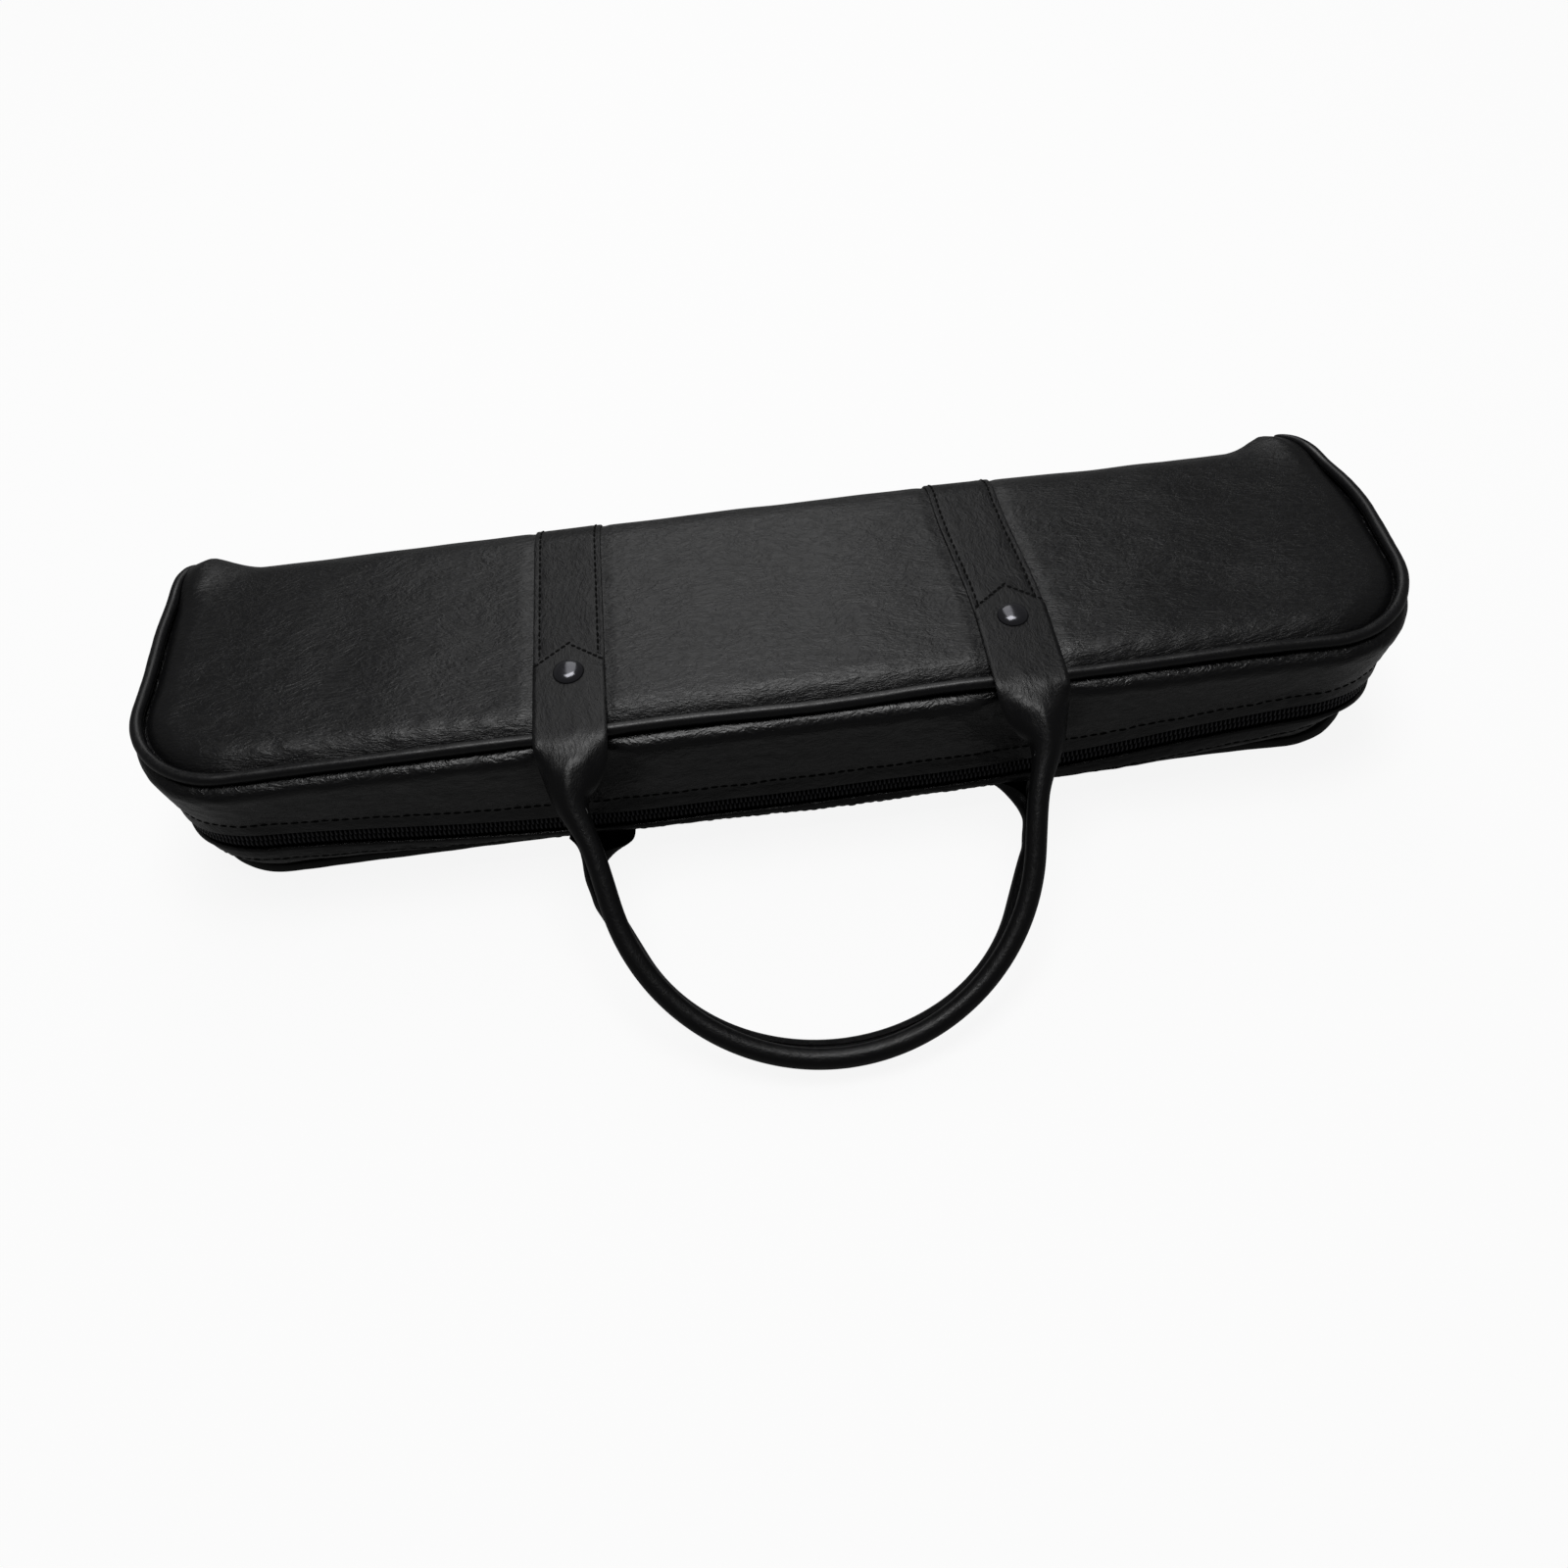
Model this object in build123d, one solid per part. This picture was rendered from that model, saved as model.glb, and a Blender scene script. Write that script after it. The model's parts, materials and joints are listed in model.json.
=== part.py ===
from build123d import *
import os
from math import acos, asin, atan2, cos, hypot, radians, sin

# Soft flute case with a zip round three sides, millimetres.
# X runs along the case, -Y is the zipped front with the handles, +Y the folded back, +Z is up.
# The origin is the middle of the flat bottom, z = 0 is the surface that the case rests on.

# ---- driving dimensions: outer form ----
case_length = 410.0           # between the piping centres of the two ends
case_depth = 104.0            # front piping centre to the back of the wrapped cover
top_height = 61.5             # outer face of the top panel
front_corner_radius = 33.0    # front corners, at the piping centre
wrap_radius = 20.0            # rounding of the cover where it turns down the back
zip_height = 22.0             # plane where the lid parts from the base

# ---- driving dimensions: materials and layers ----
cover_thickness = 2.0         # leatherette with its backing
pad_thickness = 3.0           # foam sheet under the cover
shell_thickness = 2.0         # moulded inner shell
shell_inset = 7.5             # shell wall in from the piping line
lining_thickness = 1.0        # plush in the lid
layer_gap = 0.05              # between layers that are laid on each other

# ---- driving dimensions: piping ----
piping_radius = 2.0
piping_drop = 2.5             # upper piping centre below the top face
lower_piping_height = 3.6     # lower piping centre above the bottom face
lower_piping_inset = 5.0      # lower piping is tucked under the case

# ---- driving dimensions: gusset band and zip ----
gusset_thickness = 2.5
gusset_bulge = 2.5            # the padded band stands out past the piping line
fold_outset = 1.5             # outer face of the folded edges beside the zip
fold_height = 4.8             # folded edge above or below the zip plane
tape_thickness = 0.8
tape_width = 10.0
coil_width = 2.65
coil_thickness = 2.0
coil_gap = 0.35               # each coil row to the zip plane
base_zip_setback = 7.0        # the base row ends this far in front of the back
lid_zip_setback = 19.0        # the lid row ends in front of the parked slider
stop_length = 1.3
spine_gap = 1.5               # cover edges above and below the fold line
side_pad_outer = 3.5          # foam strip behind the zip, in from the piping line
side_pad_gap = 0.2

# ---- driving dimensions: straps, rivets and handles ----
strap_centre = 5.0            # middle of the pair of straps along X
strap_spacing = 142.0
strap_width = 23.0
strap_thickness = 1.4
rivet_setback = 22.0          # rivet centre behind the front piping centre
rivet_radius = 5.0
rivet_height = 2.2
shank_radius = 1.5
washer_radius = 4.0
washer_thickness = 0.8
flat_head_height = 0.8        # lower rivets are flush with the strap
fit_gap = 0.1
handle_radius = 3.2
core_radius = 2.0
tab_thickness = 1.8
tab_start = 1.3               # tab end to the bending line, clear of the strap's rounded end
tab_length = 24.0
tab_width = 22.0
roll_start = 17.0             # where the strap is rolled into a round handle
handle_gap = 0.3              # between the upper loop and the lower one, where it leans on it
handle_lean = 47.0            # degrees from straight above the lower loop to the upper one in front of it
upper_reach = 105.5           # bending line to the middle of the upper loop
upper_loop_radius = 65.5
upper_bend_out = 3.8          # bending line in front of the piping centre
upper_bend_rise = 1.7         # bending line above the top face
lower_loop_radius = 66.0
lower_bend_out = 9.0
lower_bend_height = 1.6

# ---- driving dimensions: slider ----
slider_length = 11.0
slider_half_height = 4.2
slider_plate = 1.2
slider_play = 0.3
slider_flange = 0.8
slider_blade = 0.5            # post between the two rows
slider_end_gap = 0.2
bridge_length = 5.0
bridge_rise = 2.9
bridge_bar = 0.9
pull_length = 24.0
pull_width = 7.0
pull_thickness = 1.2
pull_window = 3.4

# ---- driving dimensions: fitted tray ----
tray_top = 32.0
tray_clearance = 0.15
tray_lid_room = 3.0           # tray stands clear of the lid lining
tray_back_room = 6.0
body_well_length = 372.0
body_well_width = 34.0
head_well_length = 226.0
head_well_width = 27.0
foot_well_length = 126.0
foot_well_width = 32.0
rear_row_end = 186.0
front_row_end = 179.0
rear_row_y = 16.5
front_row_y = -20.5
trough_radius = 12.5
trough_centre = 22.0
pocket_floor = 17.0

# ---- worked out from the above ----
half_length = case_length / 2
front_y = -case_depth / 2
back_y = case_depth / 2
base_zip_end = back_y - base_zip_setback
lid_zip_end = back_y - lid_zip_setback
upper_piping_height = top_height - piping_drop
strap_sides = {"left": strap_centre - strap_spacing / 2, "right": strap_centre + strap_spacing / 2}
beyond = case_depth
rivet_y = front_y + rivet_setback
shell_wrap = cover_thickness + pad_thickness + layer_gap
lining_wrap = shell_wrap + shell_thickness + layer_gap
lid_edge = zip_height + 1.0
base_edge = zip_height - 1.0
tape_outer = fold_outset - gusset_thickness
upper_bend = (front_y - upper_bend_out, top_height + upper_bend_rise)
lower_bend = (front_y - lower_bend_out, lower_bend_height)
loop_distance = 2 * handle_radius + handle_gap
upper_rest = handle_radius + loop_distance * cos(radians(handle_lean))
upper_slope = asin((upper_bend[1] - upper_rest) / upper_reach)
upper_loop_y = upper_bend[0] - upper_reach * cos(upper_slope)
lower_reach = lower_bend[0] - upper_loop_y - loop_distance * sin(radians(handle_lean))

os.makedirs("parts", exist_ok=True)


def save(shape, node):
    shape.label = node
    export_step(shape, f"parts/{node}.step")


def box_between(low, high):
    """Box from its lowest to its highest corner."""
    size = [b - a for a, b in zip(low, high)]
    centre = [(a + b) / 2 for a, b in zip(low, high)]
    return Pos(*centre) * Box(*size)


def disc(x, y, z_low, z_high, radius):
    """Upright cylinder between two heights."""
    return Pos(x, y, (z_low + z_high) / 2) * Cylinder(radius, z_high - z_low)


# ---- forms shared by the layers ----
def wrap_solid(inset, floor=0.0):
    """The cover's section, round at the back, run along the case; layers are copies moved in."""
    y_low, y_high = -beyond, back_y - inset
    z_low, z_high = floor + inset, top_height - inset
    outline = Pos((y_low + y_high) / 2, (z_low + z_high) / 2) * Rectangle(y_high - y_low, z_high - z_low)
    back_corners = outline.vertices().sort_by(Axis.X)[-2:]
    outline = fillet(back_corners, wrap_radius - inset)
    return extrude(Plane.YZ * outline, half_length + 1, both=True)


def plan_solid(inset, z_low, z_high):
    """The case seen from above, round at its front corners and open past the back."""
    y_low, y_high = front_y + inset, beyond
    outline = Pos(0, (y_low + y_high) / 2) * Rectangle(case_length - 2 * inset, y_high - y_low)
    front_corners = outline.vertices().sort_by(Axis.Y)[:2]
    outline = fillet(front_corners, front_corner_radius - inset)
    return extrude(Pos(0, 0, z_low) * outline, z_high - z_low)


def slab(z_low, z_high):
    """Everything between two heights."""
    return box_between((-case_length, -beyond, z_low), (case_length, beyond, z_high))


def strap_slab(x):
    """Everything within the width of one strap."""
    return box_between((x - strap_width / 2, -beyond, -beyond), (x + strap_width / 2, beyond, beyond))


def band(section_points, y_end):
    """A closed section (outset, height), swept round the left end, the front and the right end."""
    path = FilletPolyline(
        (-half_length, y_end, 0), (-half_length, front_y, 0),
        (half_length, front_y, 0), (half_length, y_end, 0), radius=front_corner_radius)
    start = Plane(origin=(-half_length, y_end, 0), x_dir=(-1, 0, 0), z_dir=(0, 1, 0))
    return sweep(start * section_points, path=path)


def strip(u_low, u_high, z_low, z_high):
    """Rectangular band section."""
    return Pos((u_low + u_high) / 2, (z_low + z_high) / 2) * Rectangle(u_high - u_low, z_high - z_low)


def bowed_section(outer):
    """Band section whose outer face is an arc through three points and which has one thickness."""
    inner = [(u - gusset_thickness, z) for u, z in outer]
    edges = [
        ThreePointArc(*outer), Line(outer[2], inner[2]),
        ThreePointArc(*reversed(inner)), Line(inner[0], outer[0])]
    return make_face(Curve() + edges)


# ---- cover, foam and piping ----
def upper_cover():
    """Top panel and the upper part of the wrapped back."""
    skin = wrap_solid(0) - wrap_solid(cover_thickness)
    skin = skin & plan_solid(piping_radius, zip_height + spine_gap, top_height + 1)
    for x in strap_sides.values():
        skin -= disc(x, rivet_y, upper_piping_height - 5, top_height + 1, shank_radius + layer_gap)
    return skin


def lower_cover():
    """Bottom panel and the lower part of the wrapped back, pressed in where the straps lie."""
    room = plan_solid(lower_piping_inset + piping_radius, -1, zip_height - spine_gap)
    flat = wrap_solid(0) - wrap_solid(cover_thickness)
    pressed = wrap_solid(0, strap_thickness) - wrap_solid(cover_thickness, strap_thickness)
    skin = flat & room
    for x in strap_sides.values():
        skin = (skin - strap_slab(x)) + (pressed & room & strap_slab(x))
        skin -= disc(x, rivet_y, -1, strap_thickness + cover_thickness + 1, shank_radius + layer_gap)
    return skin


def upper_pad():
    """Foam between the top panel and the lid shell."""
    foam = wrap_solid(cover_thickness + layer_gap) - wrap_solid(cover_thickness + pad_thickness)
    foam = foam & plan_solid(shell_inset, lid_edge, top_height)
    under = top_height - cover_thickness
    for x in strap_sides.values():
        foam -= disc(x, rivet_y, under - washer_thickness - fit_gap, under, washer_radius + fit_gap)
    return foam


def lower_pad():
    """Foam between the bottom panel and the base shell, thinner over the straps."""
    foam = wrap_solid(cover_thickness + layer_gap) - wrap_solid(cover_thickness + pad_thickness)
    foam = foam & plan_solid(shell_inset, 0, base_edge)
    over = strap_thickness + cover_thickness
    for x in strap_sides.values():
        pressed = strap_slab(x) - wrap_solid(cover_thickness + layer_gap, strap_thickness)
        foam -= pressed & slab(-1, base_edge)
        foam -= disc(x, rivet_y, over, over + washer_thickness + fit_gap, washer_radius + fit_gap)
    return foam


def side_pad(z_low, z_high):
    """Foam strip between the zip and the shell wall."""
    strip_face = strip(-shell_inset + side_pad_gap, -side_pad_outer, z_low, z_high)
    return band(strip_face, base_zip_end) & wrap_solid(lower_piping_height + piping_radius + fit_gap)


def piping(inset, height, back_inset, end_height):
    """Round cord along the edge: up one back corner, round the case and down the other."""
    x, y, y_back = half_length - inset, front_y + inset, back_y - back_inset
    path = FilletPolyline(
        (-x, y_back, end_height), (-x, y_back, height), (-x, y, height),
        (x, y, height), (x, y_back, height), (x, y_back, end_height),
        radius=[wrap_radius - back_inset, front_corner_radius - inset,
                front_corner_radius - inset, wrap_radius - back_inset])
    start = Plane(origin=(-x, y_back, end_height), z_dir=(0, 0, 1))
    return sweep(start * Circle(piping_radius), path=path)


# ---- gusset band and zip ----
def upper_gusset():
    """Padded band of the lid, from under the piping to its folded edge over the zip."""
    top = upper_piping_height - piping_radius - fit_gap
    edge = zip_height + fold_height
    outer = [(-2 * fit_gap, top), (gusset_bulge, (top + edge) / 2), (fold_outset, edge)]
    room = wrap_solid(piping_drop + piping_radius + fit_gap)
    return band(bowed_section(outer), back_y) & room


def lower_gusset():
    """Padded band of the base, tucked in to the lower piping."""
    bottom = lower_piping_height + piping_radius + fit_gap
    edge = zip_height - fold_height
    tuck = lower_piping_inset - gusset_thickness / 2
    outer = [(-tuck, bottom), (fold_outset, (bottom + edge) / 2), (fold_outset, edge)]
    room = wrap_solid(lower_piping_height + piping_radius + fit_gap)
    return band(bowed_section(outer), back_y) & room & slab(bottom, edge)


def zip_tape(side, y_end):
    """Woven tape on the inner face of the folded edge; side is 1 for the lid, -1 for the base."""
    near, far = zip_height + side * coil_gap, zip_height + side * tape_width
    return band(strip(tape_outer - tape_thickness, tape_outer, min(near, far), max(near, far)), y_end)


def zip_coil(side, y_end):
    """One row of the coil, at the edge of its tape."""
    near, far = zip_height + side * coil_gap, zip_height + side * (coil_gap + coil_width)
    face = strip(tape_outer, tape_outer + coil_thickness, min(near, far), max(near, far))
    return band(fillet(face.vertices(), coil_thickness / 4), y_end)


def zip_stops(side, y_end):
    """Crimped stop at each end of a row."""
    near, far = zip_height + side * coil_gap, zip_height + side * (coil_gap + coil_width)
    inner_x, outer_x = half_length + tape_outer, half_length + tape_outer + coil_thickness
    stop = box_between((inner_x, y_end, min(near, far)), (outer_x, y_end + stop_length, max(near, far)))
    return Compound(children=[stop, mirror(stop, Plane.YZ)])


def spine_fold():
    """Strip of the cover between lid and base, where the case bends open."""
    skin = wrap_solid(0) - wrap_solid(cover_thickness)
    height = spine_gap - slider_play
    return skin & plan_solid(lower_piping_inset + piping_radius, zip_height - height, zip_height + height)


# ---- shells, lining and tray ----
def lid_shell():
    """Moulded shell of the lid, open downwards."""
    outer = wrap_solid(shell_wrap) & plan_solid(shell_inset, lid_edge, top_height)
    inner = wrap_solid(shell_wrap + shell_thickness) & plan_solid(
        shell_inset + shell_thickness, 0, top_height)
    return outer - inner


def base_shell():
    """Moulded shell of the base, open upwards."""
    outer = wrap_solid(shell_wrap) & plan_solid(shell_inset, 0, base_edge)
    inner = wrap_solid(shell_wrap + shell_thickness) & plan_solid(
        shell_inset + shell_thickness, 0, top_height)
    return outer - inner


def lid_lining():
    """Plush lining of the lid."""
    inset = shell_inset + shell_thickness + layer_gap
    outer = wrap_solid(lining_wrap) & plan_solid(inset, lid_edge, top_height)
    inner = wrap_solid(lining_wrap + lining_thickness) & plan_solid(
        inset + lining_thickness, 0, top_height)
    return outer - inner


def well(x_low, length, y, width):
    """Place for one joint of the flute: a round trough under a pocket for its keys."""
    x_high = x_low + length
    pocket = box_between((x_low, y - width / 2, pocket_floor), (x_high, y + width / 2, tray_top + 1))
    trough = Pos(x_low + length / 2, y, trough_centre) * Rot(0, 90, 0) * Cylinder(trough_radius, length)
    return pocket + trough


def fitted_tray():
    """Foam tray, standing above the base and clear of the lid, with three wells."""
    inset = shell_inset + shell_thickness + tray_clearance
    low = wrap_solid(shell_wrap + shell_thickness + tray_clearance) & plan_solid(inset, 0, base_edge)
    high = plan_solid(inset + tray_lid_room, base_edge - 1, tray_top) & box_between(
        (-case_length, -beyond, 0), (case_length, back_y - lining_wrap - tray_back_room, top_height))
    tray = low + high
    tray -= well(-rear_row_end, body_well_length, rear_row_y, body_well_width)
    tray -= well(-front_row_end, head_well_length, front_row_y, head_well_width)
    tray -= well(front_row_end - foot_well_length, foot_well_length, front_row_y, foot_well_width)
    return tray


# ---- straps and rivets ----
def bend_roll(x, bend):
    """Rounded end of a strap on the bending line of its handle."""
    return Pos(x, *bend) * Rot(0, 90, 0) * Cylinder(tab_thickness / 2, tab_width)


def upper_strap(x):
    """Strap over the lid, from the bending line of the handle to the fold at the back."""
    top = (wrap_solid(-strap_thickness) - wrap_solid(0)) & strap_slab(x)
    top &= box_between((-case_length, upper_bend[0], zip_height + spine_gap),
                       (case_length, beyond, top_height + beyond))
    return top + bend_roll(x, upper_bend) - disc(x, rivet_y, 0, beyond, shank_radius + layer_gap)


def lower_strap(x):
    """Strap round the base, let in flush under the bottom, out to the lower handle."""
    low = wrap_solid(0) + wrap_solid(-strap_thickness, strap_thickness)
    low = (low - wrap_solid(0, strap_thickness)) & strap_slab(x)
    low &= box_between((-case_length, lower_bend[0], -1), (case_length, beyond, zip_height - spine_gap))
    low += bend_roll(x, lower_bend)
    low -= disc(x, rivet_y, 0, beyond, shank_radius + layer_gap)
    return low - disc(x, rivet_y, -1, flat_head_height, rivet_radius)


def strap_folds():
    """Short lengths of both straps over the fold line at the back."""
    height = spine_gap - slider_play
    pieces = []
    for x in strap_sides.values():
        ring = (wrap_solid(-strap_thickness) - wrap_solid(0)) & strap_slab(x)
        pieces.append((ring & slab(zip_height - height, zip_height + height) & box_between(
            (-case_length, 0, 0), (case_length, beyond, top_height))).solids()[0])
    return Compound(children=pieces)


def rivet_dome(x):
    """Domed cap on the strap."""
    base_z = top_height + strap_thickness
    ball_radius = (rivet_radius ** 2 + rivet_height ** 2) / (2 * rivet_height)
    ball = Pos(x, rivet_y, base_z + rivet_height - ball_radius) * Sphere(ball_radius)
    return ball & disc(x, rivet_y, base_z, base_z + rivet_height + 1, rivet_radius + 1)


def upper_studs():
    """Shank and washer that clinch each upper strap to the cover."""
    under = top_height - cover_thickness
    return Compound(children=[
        disc(x, rivet_y, under - washer_thickness, top_height + strap_thickness, shank_radius)
        + disc(x, rivet_y, under - washer_thickness, under, washer_radius)
        for x in strap_sides.values()])


def lower_rivets():
    """Flush head, shank and washer that clinch each lower strap to the cover."""
    over = strap_thickness + cover_thickness
    return Compound(children=[
        disc(x, rivet_y, 0, flat_head_height, rivet_radius - fit_gap)
        + disc(x, rivet_y, 0, over + washer_thickness, shank_radius)
        + disc(x, rivet_y, over, over + washer_thickness, washer_radius)
        for x in strap_sides.values()])


# ---- handles ----
def loop_path(plane, reach, radius):
    """Handle's centre line: two legs tangent to one large arc, in a plane whose y runs outwards."""
    half, centre = strap_spacing / 2, reach - radius
    away = hypot(half, centre - roll_start)
    turn = atan2(roll_start - centre, half) + acos(radius / away)
    touch = (radius * cos(turn), centre + radius * sin(turn))
    path = Curve() + [
        Line((-half, roll_start), (-touch[0], touch[1])),
        ThreePointArc((-touch[0], touch[1]), (0, reach), touch),
        Line(touch, (half, roll_start))]
    return (plane * path).wire()


def handle(bend, slope, lift, reach, radius):
    """Rolled cover and its rope core, with flat tabs to the bending line."""
    origin = Vector(strap_centre, bend[0], bend[1])
    outwards = (0, -cos(slope), -sin(slope))
    root_plane = Plane(origin=origin, x_dir=(-1, 0, 0), z_dir=Vector(-1, 0, 0).cross(Vector(*outwards)))
    roll_plane = root_plane.offset(lift)
    path = loop_path(roll_plane, reach, radius)
    start = Plane(origin=path @ 0, z_dir=path % 0)
    cover = sweep(start * Circle(handle_radius), path=path)
    core = sweep(start * Circle(core_radius), path=path)
    for side in (-1, 1):
        x = side * strap_spacing / 2
        tab = Polygon(
            (x - tab_width / 2, tab_start), (x + tab_width / 2, tab_start),
            (x + handle_radius, tab_length), (x - handle_radius, tab_length), align=None)
        cover += extrude(root_plane * tab, tab_thickness / 2, both=True)
    return cover - core, core


# ---- slider ----
def slider_parts():
    """Slider parked behind the lid's row, and its pull lying forward along the zip."""
    y_low = lid_zip_end + stop_length + slider_end_gap
    y_high = y_low + slider_length
    coil_outer = half_length + tape_outer + coil_thickness
    tape_inner = half_length + tape_outer - tape_thickness
    low, high = zip_height - slider_half_height, zip_height + slider_half_height
    out_x = coil_outer + slider_play
    in_x = tape_inner - slider_play
    body = box_between((out_x, y_low, low), (out_x + slider_plate, y_high, high))
    body += box_between((in_x - slider_plate, y_low, low), (in_x, y_high, high))
    body += box_between((in_x - slider_plate, y_high - slider_length / 3, zip_height - slider_blade / 2),
                        (out_x, y_high, zip_height + slider_blade / 2))
    for z_low, z_high in ((low, low + slider_flange), (high - slider_flange, high)):
        body += box_between((half_length + tape_outer + slider_play, y_low, z_low), (out_x, y_high, z_high))
    middle = (y_low + y_high) / 2
    bridge_x = out_x + slider_plate
    bridge = box_between((bridge_x, middle - bridge_length / 2, zip_height - bridge_bar),
                         (bridge_x + bridge_rise, middle + bridge_length / 2, zip_height + bridge_bar))
    body += bridge - box_between(
        (bridge_x, middle - bridge_length / 2 + bridge_bar, zip_height - 2 * bridge_bar),
        (bridge_x + bridge_rise - bridge_bar, middle + bridge_length / 2 - bridge_bar,
         zip_height + 2 * bridge_bar))
    pivot_x = bridge_x + (bridge_rise - bridge_bar) / 2
    pull = box_between(
        (pivot_x - pull_thickness / 2, middle - pull_length, zip_height - pull_width / 2),
        (pivot_x + pull_thickness / 2, middle + pull_thickness / 2, zip_height + pull_width / 2))
    window = box_between(
        (pivot_x - pull_thickness, middle - pull_window - pull_thickness / 2, zip_height - pull_window / 2),
        (pivot_x + pull_thickness, middle - pull_thickness / 2, zip_height + pull_window / 2))
    return body, pull - window


# ---- write the nodes ----
save(upper_cover(), "upper_cover_panel")
save(upper_pad(), "upper_pad")
save(side_pad(lid_edge, upper_piping_height - piping_radius - cover_thickness), "upper_side_pad")
save(piping(0, upper_piping_height, piping_drop, zip_height + spine_gap), "upper_piping")
save(upper_gusset(), "upper_gusset")
save(zip_tape(1, lid_zip_end), "upper_zip_tape")
save(zip_coil(1, lid_zip_end), "upper_zip_coil")
save(zip_stops(1, lid_zip_end), "upper_zip_stops")
save(lid_shell(), "lid_shell")
save(lid_lining(), "lid_lining")
save(lower_cover(), "lower_cover_panel")
save(lower_pad(), "lower_pad")
save(side_pad(lower_piping_height + lower_piping_inset + piping_radius, base_edge), "lower_side_pad")
save(piping(lower_piping_inset, lower_piping_height, lower_piping_height, zip_height - spine_gap),
     "lower_piping")
save(lower_gusset(), "lower_gusset")
save(zip_tape(-1, base_zip_end), "lower_zip_tape")
save(zip_coil(-1, base_zip_end), "lower_zip_coil")
save(zip_stops(-1, base_zip_end), "lower_zip_stops")
save(base_shell(), "base_shell")
save(fitted_tray(), "fitted_tray")
save(spine_fold(), "spine_fold")
save(strap_folds(), "strap_folds")
for side_name, strap_x in strap_sides.items():
    save(upper_strap(strap_x), f"upper_strap_{side_name}")
    save(lower_strap(strap_x), f"lower_strap_{side_name}")
save(Compound(children=[rivet_dome(x) for x in strap_sides.values()]), "upper_rivet_caps")
save(upper_studs(), "upper_rivet_studs")
save(lower_rivets(), "lower_rivets")
upper_roll, upper_rope = handle(upper_bend, upper_slope, 0, upper_reach, upper_loop_radius)
save(upper_roll, "upper_handle_cover")
save(upper_rope, "upper_handle_core")
lower_roll, lower_rope = handle(lower_bend, 0, handle_radius - lower_bend_height, lower_reach,
                                lower_loop_radius)
save(lower_roll, "lower_handle_cover")
save(lower_rope, "lower_handle_core")
slider_body, slider_tab = slider_parts()
save(slider_body, "zip_slider")
save(slider_tab, "slider_pull")
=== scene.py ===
import json
import math

import bmesh
import bpy
import numpy as np
from mathutils import Matrix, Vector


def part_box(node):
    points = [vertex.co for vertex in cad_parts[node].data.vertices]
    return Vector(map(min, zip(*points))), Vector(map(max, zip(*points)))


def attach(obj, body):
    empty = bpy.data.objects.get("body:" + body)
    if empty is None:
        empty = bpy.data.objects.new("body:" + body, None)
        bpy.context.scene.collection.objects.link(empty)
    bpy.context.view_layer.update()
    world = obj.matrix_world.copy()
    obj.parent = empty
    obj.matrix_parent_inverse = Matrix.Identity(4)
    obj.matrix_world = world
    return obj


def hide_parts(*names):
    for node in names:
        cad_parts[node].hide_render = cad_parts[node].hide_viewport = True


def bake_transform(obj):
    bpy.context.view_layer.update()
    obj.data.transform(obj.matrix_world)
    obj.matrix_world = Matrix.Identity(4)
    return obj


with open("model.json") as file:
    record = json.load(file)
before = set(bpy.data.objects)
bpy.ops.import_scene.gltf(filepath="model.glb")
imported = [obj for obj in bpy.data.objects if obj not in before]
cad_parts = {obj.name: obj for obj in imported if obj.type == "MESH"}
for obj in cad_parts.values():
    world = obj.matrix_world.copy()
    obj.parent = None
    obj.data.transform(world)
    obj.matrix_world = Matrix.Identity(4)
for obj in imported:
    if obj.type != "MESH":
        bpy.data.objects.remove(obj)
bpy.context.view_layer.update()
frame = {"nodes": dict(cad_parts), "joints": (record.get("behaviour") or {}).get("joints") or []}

# ---- Cover ----
# One sheet of black leatherette over foam: the top of the lid, the back that bends open, and the
# bottom. It is glued to the foam, pulled in under the piping all round, and stands up in two ears
# where the piping turns down the back corners. Sizes in this script are in millimetres.
MM = 0.001
cover_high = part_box("upper_cover_panel")[1]
piping_low, piping_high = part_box("upper_piping")
lower_piping_low, lower_piping_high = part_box("lower_piping")
coil_low, coil_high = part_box("upper_zip_coil")
piping_radius = 2.0
half_length = piping_high.x / MM - piping_radius
front_y = piping_low.y / MM + piping_radius
back_y = cover_high.y / MM
top_z = cover_high.z / MM
hinge_z = coil_low.z / MM - 0.35
corner_radius = 33.0
wrap_radius = 20.0
corner_x = half_length - corner_radius
corner_y = front_y + corner_radius
wrap_y = back_y - wrap_radius
wrap_arc = wrap_radius * math.pi / 2
back_straight = top_z - 2 * wrap_radius
round_back = 2 * wrap_arc + back_straight
hinge_v = wrap_arc + top_z - wrap_radius - hinge_z
cover_thickness = 1.6
strap_places = {side: (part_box(f"upper_strap_{side}")[0].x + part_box(f"upper_strap_{side}")[1].x) / 2 / MM
                for side in ("left", "right")}


def rgb(hex_colour):
    """An sRGB hex colour as the linear colour that a shader takes."""
    channels = np.array([int(hex_colour[i:i + 2], 16) for i in (1, 3, 5)]) / 255
    linear = np.where(channels <= 0.04045, channels / 12.92, ((channels + 0.055) / 1.055) ** 2.4)
    return (*linear.tolist(), 1.0)


def node(tree, kind, settings=None, links=None):
    """Adds one shader node. Settings name its properties, or its inputs by name or number, and
    links give the sockets that feed its inputs."""
    made = tree.nodes.new(kind)
    for key, value in (settings or {}).items():
        if isinstance(key, str) and hasattr(made, key):
            setattr(made, key, value)
        else:
            made.inputs[key].default_value = value
    for key, socket in (links or {}).items():
        tree.links.new(socket, made.inputs[key])
    return made


def new_material(name):
    """An empty node material and its tree."""
    material = bpy.data.materials.new(name)
    material.use_nodes = True
    material.node_tree.nodes.clear()
    return material, material.node_tree


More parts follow.
